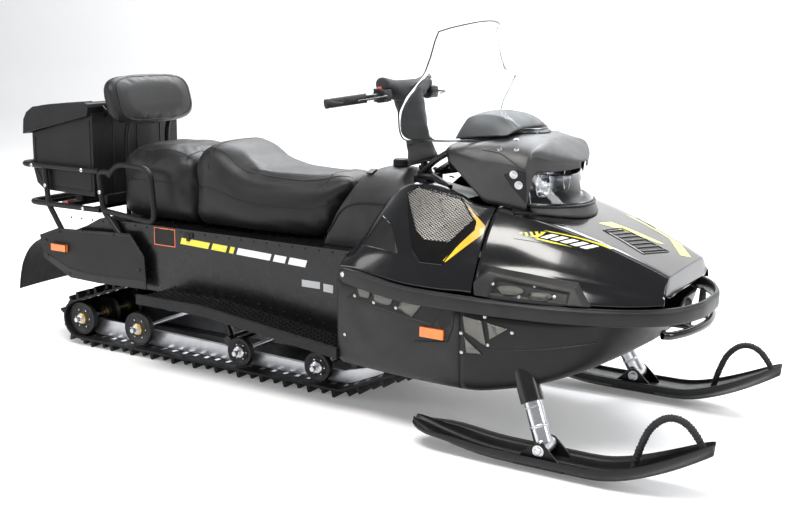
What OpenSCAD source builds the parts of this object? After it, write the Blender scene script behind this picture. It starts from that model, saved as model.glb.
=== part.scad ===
// Utility snowmobile with a two-seat bench, cargo box, tall windshield and two steered skis.
// +X points forward, +Y to the rider's left, +Z up. Z = 0 is the floor under the skis and track.

/* [Track] */
// Width of the track belt
track_w = 500; // [400:10:560]
// Distance from the rear idler to the front of the flat ground run
ground_run = 1376; // [1150:10:1500]
// Radius of the rear idler wheels
idler_r = 80; // [70:1:90]
// Thickness of the belt
belt_t = 10; // [8:1:14]
// Height of the lugs
lug_h = 30; // [20:1:45]
// Number of lugs round the belt
lug_count = 72; // [50:1:90]
// Radius of the small wheels on the rails
rail_wheel_r = 66; // [55:1:72]

/* [Tunnel] */
// Clear width between the tunnel walls
tunnel_w = 530; // [515:5:560]
// Height of the tunnel's flat top
tunnel_top_z = 600; // [585:5:610]
// Thickness of the tunnel sheet
tunnel_t = 4; // [3:1:6]
// Width of one running board
board_w = 170; // [130:5:185]

/* [Skis] */
// Distance between the middles of the two skis
ski_stance = 960; // [900:10:1000]
// Width of one ski
ski_w = 150; // [140:5:200]
// Thickness of the ski's plastic
ski_t = 14; // [10:1:20]
// Radius of the pivot bolt through the ski
ski_bolt_r = 8; // [6:0.5:10]

/* [Legs] */
// Backward lean of the ski legs
caster = 25.5; // [20:0.5:28]
// Inward lean of the ski legs
camber = 14.5; // [8:0.5:16]
// Radius of the bright ski leg
leg_r = 31; // [26:1:34]
// Radius of the outer strut tube
strut_r = 40; // [37:1:44]

/* [Hull] */
// Half of the width across the lower hull
hull_half_w = 480; // [450:5:500]
// Thickness of the plastic panels
panel_t = 6; // [4:1:9]
// Gap between the hood and the panels round it
seam = 7; // [6:1:10]
// Radius of the front bumper tube
bumper_r = 14; // [10:1:18]

/* [Windshield] */
// Height of the windshield's top edge
screen_top_z = 1456; // [1390:2:1500]
// Thickness of the windshield
screen_t = 4; // [3:1:6]

/* [Seats] */
// Width of the seats at their base
seat_w = 460; // [400:10:500]
// Height of the driver's seat at its lowest point
seat_z = 858; // [830:2:880]

/* [Cargo] */
// Width of the cargo box
box_w = 540; // [460:10:580]
// Thickness of the box walls
box_t = 6; // [4:1:10]
// Radius of the rack tubes
rack_r = 12; // [9:1:15]

/* [Steering] */
// Backward tilt of the steering column
column_tilt = 17; // [12:1:22]
// Radius of the handlebar tube
bar_r = 11; // [10:0.5:13]
// Radius of the rubber grips
grip_r = 18; // [16:0.5:21]
// Height of the handlebar's middle
bar_z = 1185; // [1150:5:1210]

/* [Hidden] */
$fn = 48;

// Clearances
fit = 0.05;            // a shaft turning in its bore
seat_gap = 0.3;        // a soft or separate piece resting on its seat
face_gap = 1;          // two panels that meet

// Track and drive line
ground_z = belt_t + lug_h;
rear_idler_x = -1287;
second_idler_x = -955;
front_run_x = rear_idler_x + ground_run;
sprocket_x = 500;
sprocket_z = 303;
sprocket_r = 85;
carrier_x = -765;
carrier_z = 300;
mid_wheel_x = -400;
front_wheel_x = -15;
wheel_w = 26;
wheel_gap = 4;         // wheel rim to belt
axle_r = 10;
drive_shaft_r = 16;
rail_y = 160;

// Hull outline in plan: a taper from the rear to hull_mid_x, then a rounded nose
nose_x = 1447;
hull_mid_x = 700;
hull_rear_x = 216;
hull_rear_in = 42;
nose_power = 2.5;
split_x = 735;         // where the side covers meet the belly
strip_z = 508;
strip_h = 44;
belly_z = 196;

// Legs and skis
ski_x = 1062;
ski_y = ski_stance / 2;
ski_bolt_z = 82;
ski_tail_x = 572;
ski_tip_x = 1618;
tail_x = -1618;
flap_corner_x = -1596;

// Hood hinge
hinge_x = 1400;
hinge_z = 545;

// Box and lid
box_rear_x = -1498;
box_front_x = -1134;
box_low_z = 690;
lid_hinge_x = -1120;
lid_hinge_z = 1052;

// ---------------------------------------------------------------- helpers

function unit(v) = v / norm(v);
function mix(a, b, t) = a + (b - a) * t;
function clamp01(t) = max(0, min(1, t));
function smooth(t) = let(c = clamp01(t)) c * c * (3 - 2 * c);

// One straight round bar between two points
module rod(p, q, r) {
    d = q - p;
    translate(p) rotate([0, acos(d[2] / norm(d)), atan2(d[1], d[0])]) cylinder(h = norm(d), r = r);
}

// A corner of a path turned into a short curve
function corner(a, b, c, r, n) =
    let(p = b + r * unit(a - b), q = b + r * unit(c - b))
    [for (k = [0 : n]) let(t = k / n) (1 - t) * (1 - t) * p + 2 * t * (1 - t) * b + t * t * q];
function rounded(path, r, n = 4) = [
    path[0],
    for (i = [1 : len(path) - 2]) each corner(path[i - 1], path[i], path[i + 1], r, n),
    path[len(path) - 1]];

// A bent tube along a path; up is any direction the tube never runs along
module tube(path, r, up = [0, 0, 1], sides = 10) {
    last = len(path) - 1;
    points = [for (i = [0 : last])
        let(t = unit(path[min(i + 1, last)] - path[max(i - 1, 0)]),
            a = unit(cross(up, t)), b = cross(t, a))
        for (k = [0 : sides - 1]) path[i] + r * (cos(360 * k / sides) * a + sin(360 * k / sides) * b)];
    walls = [for (i = [0 : last - 1], k = [0 : sides - 1])
        let(p = i * sides + k, q = i * sides + (k + 1) % sides) each [[p, p + sides, q], [q, p + sides, q + sides]]];
    ends = [[for (k = [0 : sides - 1]) k], [for (k = [sides - 1 : -1 : 0]) last * sides + k]];
    polyhedron(points, concat(walls, ends));
}

// Closed body through a list of rings; each end closes on the middle of its ring
function mean(ring) = let(n = len(ring)) [for (a = [0 : 2]) [for (p = ring) p[a]] * [for (p = ring) 1] / n];
module body_of(rings) {
    m = len(rings) - 1;
    n = len(rings[0]);
    points = concat([for (ring = rings) each ring], [mean(rings[0]), mean(rings[m])]);
    first = (m + 1) * n;
    walls = [for (i = [0 : m - 1], k = [0 : n - 1])
        let(p = i * n + k, q = i * n + (k + 1) % n) each [[p, p + n, q], [q, p + n, q + n]]];
    caps = [for (k = [0 : n - 1]) each [[first, k, (k + 1) % n], [first + 1, m * n + (k + 1) % n, m * n + k]]];
    polyhedron(points, concat(walls, caps));
}

// Sheet with one face on a grid of points; a positive wall lies behind the grid's normals
function grid_normal(g, i, j) =
    let(m = len(g) - 1, n = len(g[0]) - 1)
    unit(cross(g[min(i + 1, m)][j] - g[max(i - 1, 0)][j], g[i][min(j + 1, n)] - g[i][max(j - 1, 0)]));
module sheet(g, wall) {
    m = len(g) - 1;
    n = len(g[0]) - 1;
    w = n + 1;
    far = (m + 1) * w;
    moved = [for (i = [0 : m]) [for (j = [0 : n]) g[i][j] - wall * grid_normal(g, i, j)]];
    front = wall > 0 ? g : moved;
    back = wall > 0 ? moved : g;
    points = concat([for (row = front) each row], [for (row = back) each row]);
    faces = concat(
        [for (i = [0 : m - 1], j = [0 : n - 1]) let(p = i * w + j) each [[p, p + 1, p + w], [p + 1, p + w + 1, p + w]]],
        [for (i = [0 : m - 1], j = [0 : n - 1]) let(p = far + i * w + j) each [[p, p + w, p + 1], [p + 1, p + w, p + w + 1]]],
        [for (i = [0 : m - 1]) let(p = i * w) each [[p, p + w, p + far], [p + w, p + w + far, p + far]]],
        [for (i = [0 : m - 1]) let(p = i * w + n) each [[p, p + far, p + w], [p + w, p + far, p + w + far]]],
        [for (j = [0 : n - 1]) let(p = j) each [[p, p + far, p + 1], [p + 1, p + far, p + far + 1]]],
        [for (j = [0 : n - 1]) let(p = m * w + j) each [[p, p + 1, p + far], [p + 1, p + far + 1, p + far]]]);
    polyhedron(points, faces);
}

module both() {
    children();
    mirror([0, 1, 0]) children();
}

// ---------------------------------------------------------------- track

// Wheels the belt runs round, in order against the clock seen from the right: [x, z, radius]
belt_wheels = [
    [rear_idler_x, ground_z + idler_r, idler_r],
    [front_run_x, ground_z + idler_r, idler_r],
    [sprocket_x, sprocket_z, sprocket_r],
    [carrier_x, carrier_z, idler_r]];

// Direction, in degrees, of the point where the belt leaves wheel i for wheel i + 1
function leave_angle(i) =
    let(a = belt_wheels[i], b = belt_wheels[(i + 1) % 4], dx = b[0] - a[0], dz = b[1] - a[1])
    atan2(dz, dx) - 90 + asin((b[2] - a[2]) / norm([dx, dz])) * -1;
function turn(i) = let(d = leave_angle(i) - leave_angle((i + 3) % 4)) d < 0 ? d + 360 : d;
function arc_len(i, off) = turn(i) * PI / 180 * (belt_wheels[i][2] + off);
function on_wheel(i, angle, off) =
    [belt_wheels[i][0], belt_wheels[i][1]] + (belt_wheels[i][2] + off) * [cos(angle), sin(angle)];
arc_step = 12;
function arc_points(i, off) =
    let(start = leave_angle((i + 3) % 4), n = ceil(turn(i) / arc_step))
    [for (k = [0 : n]) on_wheel(i, start + turn(i) * k / n, off)];
function belt_line(off) = [for (i = [0 : 3]) each arc_points(i, off)];

// Lengths along a closed line, and the point that lies s along it with its outward normal
function side_len(line, i) = norm(line[(i + 1) % len(line)] - line[i]);
function run_up(line, i = 0, sum = 0) =
    i == len(line) ? [sum] : concat([sum], run_up(line, i + 1, sum + side_len(line, i)));
function side_at(sums, s) = max([for (i = [0 : len(sums) - 2]) if (sums[i] <= s) i]);
function along(line, sums, s) =
    let(i = side_at(sums, s), a = line[i], b = line[(i + 1) % len(line)], t = (s - sums[i]) / norm(b - a))
    [mix(a, b, t), unit([(b - a)[1], -(b - a)[0]])];

lug_foot = 22;
lug_tip = 12;
// The belt's outer outline: its corners, with a lug standing on it at every pitch
function lugged_line() =
    let(line = belt_line(belt_t), sums = run_up(line), pitch = sums[len(line)] / lug_count)
    [for (k = [0 : lug_count - 1])
        let(s = (k + 0.5) * pitch, at = along(line, sums, s), n = at[1], t = [-n[1], n[0]])
        each concat(
            [for (i = [0 : len(line) - 1]) if (sums[i] > s - pitch + lug_foot / 2 + 1 && sums[i] < s - lug_foot / 2 - 1) line[i]],
            [along(line, sums, s - lug_foot / 2)[0], at[0] - t * lug_tip / 2 + n * lug_h,
                at[0] + t * lug_tip / 2 + n * lug_h, along(line, sums, s + lug_foot / 2)[0]])];

module track() {
    color([0.06, 0.06, 0.06]) rotate([90, 0, 0]) linear_extrude(track_w, center = true) difference() {
        polygon(lugged_line());
        polygon(belt_line(0));
    }
}

module wheel(x, z, r, y, w = wheel_w) {
    translate([x, y, z]) rotate([90, 0, 0]) difference() {
        union() {
            cylinder(h = w, r = r - wheel_gap, center = true);
            cylinder(h = w + 16, r = 26, center = true);
        }
        cylinder(h = w + 20, r = axle_r + fit, center = true);
        for (side = [-1, 1]) translate([0, 0, side * w / 2]) difference() {
            cylinder(h = 12, r = r - wheel_gap - 16, center = true);
            cylinder(h = 14, r = 34, center = true);
        }
    }
}

module wheel_row(x, z, r, ys) {
    for (y = ys) wheel(x, z, r, y);
    translate([x, 0, z]) rotate([90, 0, 0]) cylinder(h = tunnel_w - 2, r = axle_r, center = true);
}

module idler_wheels() {
    color([0.12, 0.12, 0.12]) {
        wheel_row(rear_idler_x, ground_z + idler_r, idler_r, [-215, -70, 70, 215]);
        wheel_row(second_idler_x, ground_z + idler_r, idler_r, [-215, 215]);
        wheel_row(carrier_x, carrier_z, idler_r, [-215, -70, 70, 215]);
    }
}

module rail_wheels() {
    color([0.12, 0.12, 0.12]) {
        wheel_row(mid_wheel_x, ground_z + rail_wheel_r, rail_wheel_r, [-215, 215]);
        wheel_row(front_wheel_x, ground_z + rail_wheel_r, rail_wheel_r, [-215, 215]);
    }
}

rail_low_z = ground_z + seat_gap;
rail_h = 46;
rail_t = 18;
rail_rise = 23.5;        // slope of the rails' raised front, in degrees
module slide_rails() {
    nose = 120;
    foot = 19;
    lift = nose * tan(rail_rise);
    color([0.75, 0.76, 0.78]) both() translate([0, rail_y + rail_t / 2, 0]) rotate([90, 0, 0]) linear_extrude(rail_t)
        difference() {
            union() {
            for (x = [mid_wheel_x, front_wheel_x]) translate([x, ground_z + rail_wheel_r]) circle(r = 22);
            polygon([[rear_idler_x - 30, rail_low_z + 30], [rear_idler_x + 40, rail_low_z],
                [front_run_x, rail_low_z], [front_run_x + 50, rail_low_z + foot], [front_run_x + 50 + nose, rail_low_z + foot + lift],
                [front_run_x + 40 + nose, rail_low_z + 46 + lift], [front_run_x + 20, rail_low_z + rail_h + 14],
                [front_run_x - 20, rail_low_z + rail_h], [rear_idler_x + 30, rail_low_z + rail_h + 30],
                [rear_idler_x - 30, rail_low_z + rail_h + 50]]);
            }
            for (x = [rear_idler_x, second_idler_x]) translate([x, ground_z + idler_r]) circle(r = axle_r + fit);
            for (x = [mid_wheel_x, front_wheel_x]) translate([x, ground_z + rail_wheel_r]) circle(r = axle_r + fit);
        }
}

module drive_axle() {
    color([0.2, 0.2, 0.2]) translate([sprocket_x, 0, sprocket_z]) rotate([90, 0, 0]) {
        cylinder(h = tunnel_w + 2 * tunnel_t + 30, r = drive_shaft_r, center = true);
        for (y = [-150, 0, 150]) translate([0, 0, y])
            cylinder(h = 40, r = sprocket_r - wheel_gap, center = true);
    }
}

arm_r = 14;
arm_y = 118;
front_arm = [[-60, 0, 335], [110, 0, 118]];
rear_arm = [[-620, 0, 345], [-520, 0, 118]];
carrier_plate = 6;
module skid_arms() {
    color([0.15, 0.15, 0.15]) {
        for (arm = [front_arm, rear_arm]) {
            both() rod(arm[0] + [0, arm_y, 0], arm[1] + [0, arm_y, 0], arm_r);
            translate(arm[0]) rotate([90, 0, 0]) cylinder(h = tunnel_w - 2 * seat_gap, r = arm_r + 4, center = true);
            translate(arm[1]) rotate([90, 0, 0]) cylinder(h = 2 * rail_y - rail_t - 2 * seat_gap, r = arm_r + 4, center = true);
        }
        both() translate([carrier_x, tunnel_w / 2 - seat_gap, carrier_z]) rotate([90, 0, 0]) linear_extrude(carrier_plate)
            difference() {
                polygon([[-26, -26], [26, -26], [70, 120], [-10, 120]]);
                circle(r = axle_r + fit);
            }
    }
}

module shock(low, top, r) {
    d = unit(top - low);
    n = norm(top - low);
    rod(low, top, r * 0.35);
    rod(low + d * n * 0.18, low + d * n * 0.62, r * 0.55);
    rod(low + d * n * 0.58, low + d * n * 0.86, r);
    for (p = [low, top]) translate(p) rotate([90, 0, 0]) cylinder(h = 34, r = r * 0.7, center = true);
}

module skid_shocks() {
    color([0.8, 0.62, 0.12]) {
        shock(front_arm[1] + [-6, 0, arm_r + 4 + 18], [-190, 0, 330], 26);
        shock(rear_arm[1] + [6, 0, arm_r + 4 + 18], [-290, 0, 318], 26);
    }
}

// ---------------------------------------------------------------- tunnel and rear

tunnel_rear_x = -1320;
tunnel_front_x = 640;
tunnel_low_z = 318;
tunnel_half = tunnel_w / 2 + tunnel_t;
// Side view of the tunnel; in is how far the outline is drawn in, low is its bottom line's drop
function tunnel_top(in) = [[tunnel_front_x - in, 560 - in], [520, tunnel_top_z - in], [-1110, tunnel_top_z - in],
    [-1190, 560 - in], [tunnel_rear_x - 99 * sign(in), 512 - in]];
module tunnel() {
    rotate([90, 0, 0]) color([0.05, 0.05, 0.05]) difference() {
        linear_extrude(2 * tunnel_half, center = true) polygon(concat(
            [[tunnel_rear_x, 420], [-1240, 350], [-1060, tunnel_low_z], [-420, tunnel_low_z + 4], [160, 262],
            [350, 244], [tunnel_front_x, 244]], tunnel_top(0)));
        linear_extrude(tunnel_w, center = true) polygon(concat(
            [[tunnel_rear_x - 99, 0], [tunnel_front_x - tunnel_t, 0]], tunnel_top(tunnel_t)));
        translate([sprocket_x, sprocket_z, 0])
            cylinder(h = 2 * tunnel_half + 2, r = drive_shaft_r + 2 * fit, center = true);
    }
}

board_rear_x = -760;
board_front_x = 214;
board_t = 22;
function board_z(x) = lookup(x, [[board_rear_x, 330], [-420, 328], [board_front_x, 256]]);
module running_boards() {
    xs = [board_rear_x, -640, -420, -200, 0, board_front_x];
    color([0.07, 0.07, 0.07]) both() rotate([90, 0, 0]) translate([0, 0, -tunnel_half - board_w]) {
        linear_extrude(board_w - seat_gap)
            polygon(concat([for (x = xs) [x, board_z(x)]], [for (k = [5 : -1 : 0]) [xs[k], board_z(xs[k]) - board_t]]));
        linear_extrude(16)
            polygon(concat([for (x = xs) [x, board_z(x) + 12]], [for (k = [5 : -1 : 0]) [xs[k], board_z(xs[k]) - 26]]));
    }
}

// Rear side skirts: sheets beside the tunnel's rear end, reaching back to the flap
skirt_in_y = 303;
skirt_t = 5;
module rear_skirts() {
    outline = [[-820, 330], [-1100, 322], [-1262, 326], [-1420, 400], [-1440, 500], [-1330, 540], [-905, 560], [-830, 470]];
    color([0.05, 0.05, 0.05]) both() {
        translate([0, skirt_in_y + skirt_t, 0]) rotate([90, 0, 0]) linear_extrude(skirt_t) polygon(outline);
        for (x = [-1260, -900]) translate([x, tunnel_half + seat_gap, 380])
            cube([50, skirt_in_y - tunnel_half - seat_gap + 1, 40]);
    }
}

// Flap: a bowed rubber sheet hanging off the tunnel's rear end, with the flange that carries it
flap_half = skirt_in_y - 2;
flap_t = 6;
module snow_flap() {
    curve = [[-1338, 505], [-1430, 486], [-1508, 440], [-1560, 370], [-1584, 300], [flap_corner_x, 232]];
    bow = flap_corner_x - tail_x;
    color([0.05, 0.05, 0.05]) union() {
        sheet([for (k = [0 : 5]) [for (j = [0 : 8]) let(y = mix(-flap_half, flap_half, j / 8), p = curve[k])
            [p[0] - bow * k / 5 * (1 - pow(y / flap_half, 2)), y, p[1]]]], -flap_t);
        translate([tunnel_rear_x - 24, -tunnel_half, 440]) cube([24 - seat_gap, 2 * tunnel_half, 62]);
    }
}

// Hitch: two ears with a vertical pin hole, on a plate against the tunnel's rear end
hitch_hole_r = 8.2;
hitch_ear = 10;
// Hole to the tunnel's end: the pin passes behind the track
hitch_reach = 108;
module tow_hitch() {
    color([0.3, 0.3, 0.3]) difference() {
        union() {
            for (z = [362, 402]) translate([tunnel_rear_x - hitch_reach - 26, -38, z]) cube([hitch_reach + 20, 76, hitch_ear]);
            translate([tunnel_rear_x - 12, -tunnel_half + 3, 352]) cube([12 - seat_gap, 2 * tunnel_half - 6, 80]);
        }
        translate([tunnel_rear_x - hitch_reach, 0, 300]) cylinder(h = 200, r = hitch_hole_r);
    }
}

module tail_light() {
    lamp_h = 44;
    color([0.6, 0.03, 0.03]) translate([-1540, -70, rack_low_z - rack_r - lamp_h - seat_gap]) cube([32, 140, lamp_h]);
}

reflector_x = 586;
reflector_z = 386;
module side_reflectors() {
    turn_in = atan2(hull_y(reflector_x + 90) - hull_y(reflector_x), 90);
    color([0.95, 0.4, 0.03]) both() {
        translate([-1362, skirt_in_y + skirt_t + seat_gap, 440]) cube([90, 12, 32]);
        translate([reflector_x, hull_y(reflector_x) * 0.997 + seat_gap, reflector_z]) rotate([0, 0, turn_in]) cube([92, 10, 34]);
    }
}

// ---------------------------------------------------------------- hull

// Half width of the hull at x
function hull_y(x) = x < hull_mid_x
    ? hull_half_w - hull_rear_in * pow((hull_mid_x - x) / (hull_mid_x - hull_rear_x), 2)
    : hull_half_w * pow(1 - pow(min(1, (x - hull_mid_x) / (nose_x - hull_mid_x)), nose_power), 1 / nose_power);
// Station k of the rounded nose, a in 0..90
function nose_at(a) = hull_mid_x + (nose_x - hull_mid_x) * pow(sin(a), 2 / nose_power);
function keel_z(x) = x < 750 ? belly_z : belly_z + 300 * pow((x - 750) / (nose_x - 750), 1.6);
function rim_z(x) = strip_z + lookup(x, [[hull_rear_x, 30], [300, 26], [400, 12], [500, 0], [1150, 0], [nose_x, -5]]);
cover_xs = [hull_rear_x, 300, 400, 500, 600, split_x - face_gap];
edge_gap = 0.8;        // between two panel edges that meet

// Lower hull section: [share of half width, share of height over the keel]
hull_profile = [[1, 1], [0.997, 0.7], [0.99, 0.4], [0.975, 0.18], [0.945, 0.07], [0.89, 0.015], [0.6, 0]];
// The lower rows of the nose lie further back than the rim
nose_cut = 96;
function hull_row(x) = [for (p = hull_profile)
    [x, hull_y(x + nose_cut * (1 - p[1]) * smooth((x - 1000) / 300)) * p[0], mix(keel_z(x), rim_z(x), p[1])]];
function whole_row(x) = let(half = hull_row(x)) concat(half,
    [for (k = [len(half) - 1 : -1 : 0]) [half[k][0], -half[k][1], half[k][2]]]);
// Rows that close the nose: the last row drawn in towards the middle of the rim
function closing_row(x, t) = [for (p = whole_row(x)) [x + 4 * t, p[1] * (1 - 0.9 * t), mix(p[2], rim_z(x) - 4, 0.9 * t)]];

nose_angles = [14, 22, 30, 38, 46, 54];
module belly_pan() {
    xs = concat([split_x + face_gap], [for (a = nose_angles) nose_at(a)]);
    last = xs[len(xs) - 1];
    color([0.13, 0.13, 0.14]) difference() {
        sheet(concat([for (x = xs) whole_row(x)], [closing_row(last, 0.4), closing_row(last, 0.8)]), panel_t);
        both() leg_frame() translate([0, 0, 60]) cylinder(h = 500, r = strut_r + seat_gap);
        both() rod([nose_at(38), mount_y, bumper_z], [bumper_x, mount_y, bumper_z], mount_r + seat_gap);
    }
}

module side_covers() {
    color([0.16, 0.16, 0.17]) both() sheet([for (x = cover_xs) hull_row(x)], panel_t);
}

// Soft strip round the hull's widest line
strip_out = 14;
module bumper_strip() {
    xs = concat([hull_rear_x + 4], [for (k = [1 : 5]) cover_xs[k]], [for (a = concat(nose_angles, [62, 69, 75, 80])) nose_at(a)]);
    side = [for (x = xs) [x, hull_y(x), rim_z(x)]];
    tip = [for (y = [90, 0, -90]) [nose_x + (y == 0 ? 1 : 0), y, rim_z(nose_x)]];
    path = concat(side, tip, [for (k = [len(side) - 1 : -1 : 0]) [side[k][0], -side[k][1], side[k][2]]]);
    last = len(path) - 1;
    section = [[-8, 7], [0, edge_gap], [8, edge_gap], [strip_out, 12], [strip_out, strip_h - 12], [6, strip_h], [-8, strip_h]];
    rings = [for (i = [0 : last])
        let(t = unit(path[min(i + 1, last)] - path[max(i - 1, 0)]), out = unit([-t[1], t[0], 0]))
        [for (s = section) path[i] + out * s[0] + [0, 0, s[1]]]];
    color([0.05, 0.05, 0.05]) body_of(rings);
}

bumper_z = 452;
bumper_x = 1446;
mount_y = 90;
mount_r = 9;
lug_t = 10;
hinge_pin_r = 5;
module front_bumper() {
    path = rounded([[1368, -262, bumper_z + 4], [1394, -228, bumper_z], [1430, -130, bumper_z], [bumper_x, 0, bumper_z],
        [1430, 130, bumper_z], [1394, 228, bumper_z], [1368, 262, bumper_z + 4]], 40);
    color([0.03, 0.03, 0.03]) {
        tube(path, bumper_r);
        both() rod([engine_front_x + seat_gap, mount_y, bumper_z], [bumper_x - 12, mount_y, bumper_z], mount_r);
        // lugs the hood turns on
        both() translate([0, mount_y + lug_t / 2, 0]) rotate([90, 0, 0]) linear_extrude(lug_t) difference() {
            union() {
                polygon([[hinge_x - 16, bumper_z - 4], [hinge_x + 16, bumper_z - 4], [hinge_x + 9, hinge_z], [hinge_x - 9, hinge_z]]);
                translate([hinge_x, hinge_z]) circle(r = 11);
            }
            translate([hinge_x, hinge_z]) circle(r = hinge_pin_r + fit);
        }
    }
}

engine_front_x = 1030;
module engine() {
    color([0.35, 0.35, 0.37]) translate([tunnel_front_x + seat_gap, -220, 300])
        cube([engine_front_x - tunnel_front_x - seat_gap, 440, 330]);
}

// ---------------------------------------------------------------- hood

// Upper body section at x: centre, ridge, shoulder and low edge as [y, z]
function hood_centre_z(x) = lookup(x, [[600, 850], [760, 846], [860, 826], [1000, 786], [1150, 736], [1300, 672], [1385, 630]]);
function ridge_y(x) = lookup(x, [[600, 300], [860, 300], [1000, 270], [1200, 235], [1385, 200]]);
function ridge_z(x) = hood_centre_z(x) - lookup(x, [[600, 20], [1000, 6], [1385, 2]]);
function shoulder_y(x) = min(hull_y(x) - 12, lookup(x, [[600, 425], [800, 425], [1000, 395], [1200, 330], [1385, 262]]));
function shoulder_z(x) = lookup(x, [[600, 690], [800, 668], [1000, 650], [1200, 612], [1385, 572]]);
function low_y(x) = max(hull_y(x) - 8, shoulder_y(x) + 4);
function low_z(x) = rim_z(x) + strip_h + seam;
function hood_side(x) = [
    [x, 0, hood_centre_z(x)], [x, ridge_y(x) * 0.5, mix(hood_centre_z(x), ridge_z(x), 0.5)],
    [x, ridge_y(x), ridge_z(x)],
    [x, mix(ridge_y(x), shoulder_y(x), 0.35), mix(ridge_z(x), shoulder_z(x), 0.25)],
    [x, mix(ridge_y(x), shoulder_y(x), 0.75), mix(ridge_z(x), shoulder_z(x), 0.62)],
    [x, shoulder_y(x), shoulder_z(x)],
    [x, mix(shoulder_y(x), low_y(x), 0.6), mix(shoulder_z(x), low_z(x), 0.4)],
    [x, low_y(x), low_z(x)]];
function hood_row(x) = let(s = hood_side(x)) concat(
    [for (k = [7 : -1 : 1]) [s[k][0], -s[k][1], s[k][2]]], s);
hood_rear_x = 720;
hood_front_x = 1362;

// The hood's front: its last row, with the middle drawn down into an upright face
function face_row(t) = [for (p = hood_row(hood_front_x))
    let(k = smooth((shoulder_y(hood_front_x) - abs(p[1])) / 50))
    [p[0] + 8 * t, p[1], mix(p[2], max(hood_face_z, p[2] - 70), t * k)]];
hood_face_z = 570;

module hood() {
    xs = [hood_rear_x, 790, 860, 930, 1000, 1080, 1160, 1230, 1300, hood_front_x];
    arm_t = 7;
    color([0.02, 0.02, 0.02]) {
        difference() {
            sheet(concat([for (x = xs) hood_row(x)], [face_row(0.5), face_row(1)]), panel_t);
            translate([pod_rear_x + 60, -225, 700]) cube([230, 450, 200]);
        }
        // arms and pins in the bumper's lugs
        both() {
            for (y = [mount_y - lug_t / 2 - 6, mount_y + lug_t / 2 + 6 + arm_t]) translate([0, y, 0]) rotate([90, 0, 0])
                linear_extrude(arm_t) {
                    polygon([[hinge_x - 9, hinge_z], [hinge_x + 9, hinge_z], [1376, 612], [1358, 612], [1358, 590]]);
                    translate([hinge_x, hinge_z]) circle(r = 10);
                }
            rod([hinge_x, mount_y - lug_t / 2 - 10, hinge_z], [hinge_x, mount_y + lug_t / 2 + 10, hinge_z], hinge_pin_r);
        }
    }
}
// Height of the hood's flat middle over a point
function hood_z(x, y) = mix(hood_centre_z(x), ridge_z(x), abs(y) / ridge_y(x));

// Raised scoop on each side of the hood, standing on its surface
scoop_lift = 24;
module hood_scoops() {
    xs = [790, 860, 930, 1000, 1080, 1160];
    for (side = [-1, 1]) color([0.09, 0.09, 0.09]) sheet([for (i = [0 : 5]) let(s = hood_side(xs[i]),
            base = [mix(s[4], s[5], 0.96), mix(s[5], s[6], 0.06), mix(s[5], s[6], 0.5), s[6], mix(s[6], s[7], 0.8)])
        [for (k = [0 : 4]) let(j = side > 0 ? k : 4 - k, rise = edge_gap + 0.15 + scoop_lift * sin(180 * i / 5) * sin(180 * j / 4),
            p = base[j] + [0, 0.86, 0.5] * rise) [p[0], side * p[1], p[2]]]], -4);
}

// ---------------------------------------------------------------- pod and windshield

pod_rear_x = 560;
// Stations of the lamp housing: [x, half width, low edge, top]; the low edge rests on the hood from 720 to 850
foot_y = 0.93;
function on_hood(x, half) = hood_z(x, foot_y * half) + edge_gap + 0.15;
pod_at = [[pod_rear_x, 270, 971, 1036], [640, 288, 905, 1060], [700, 291, 850, 1070],
    [720, 292, on_hood(720, 292), 1072], [790, 290, on_hood(790, 290), 1072], [868, 280, on_hood(868, 280), 1056],
    [880, 266, 955, 1048], [900, 232, 950, 1034], [930, 170, 948, 1012], [955, 95, 950, 992], [972, 30, 955, 978]];
// Arch across the housing: [share of half width, share of height]
pod_arch = [[foot_y, 0], [0.94, 0.3], [0.97, 0.52], [1, 0.6], [0.96, 0.72], [0.86, 0.85], [0.6, 0.95], [0.3, 0.99], [0, 1]];
function pod_row(s) = [for (k = [0 : 16]) let(p = pod_arch[k < 9 ? k : 16 - k])
    [s[0], (k < 8 ? -1 : 1) * s[1] * p[0], mix(s[2], s[3], p[1])]];
function pod_value(x, k) = lookup(x, [for (s = pod_at) [s[0], s[k]]]);
// Height of the housing over a point
function pod_z(x, y) = mix(pod_value(x, 2), pod_value(x, 3),
    lookup(abs(y) / pod_value(x, 1), [for (k = [8 : -1 : 3]) pod_arch[k]]));

// Lens: v is 0 at its low edge and 1 at its top, u is -1..1 across it
lens_half = 247;
lens_t = 5;
function lens_at(v, u) = let(bulge = 1 - u * u)
    [mix(874, 852, v) + mix(126, 78, v) * bulge, u * lens_half, mix(838, 952, v) - mix(10, 22, v) * bulge];
module headlight_lens() {
    color([0.85, 0.88, 0.9]) sheet([for (v = [0, 0.33, 0.67, 1]) [for (k = [-5 : 5]) lens_at(v, k / 5)]], -lens_t);
}

module headlight_pod() {
    chin = [for (t = [0, 0.5, 1]) [for (k = [-6 : 6]) let(p = lens_at(0, k / 5 - (abs(k) == 6 ? sign(k) * 0.152 : 0)), x = p[0] + 18 * t)
        [x, p[1], mix(p[2] - edge_gap - 0.15, hood_z(x, p[1]) + 5, t)]]];
    color([0.14, 0.14, 0.15]) {
        sheet([for (s = pod_at) pod_row(s)], panel_t);
        sheet(chin, panel_t);
    }
}

// Windshield rows: [share of height below the top corners, half width, x at the side edge]
screen_rows = [[1, 386, 446], [0.885, 408, 448], [0.733, 428, 455], [0.59, 428, 484], [0.472, 411, 515], [0.431, 368, 508],
    [0.395, 328, 500], [0.256, 288, 500], [0.115, 258, 500], [0.036, 238, 503], [0, 190, 528]];
screen_arch = 26;
screen_base_z = 1040;
screen_mid_z = 1070;
function screen_mid_x(z) = lookup(z, [[1040, 842], [1085, 818], [1246, 716], [1456, 584]]);
function screen_x(z, u, side) = screen_mid_x(z) - (screen_mid_x(z) - side) * u * u;
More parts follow.
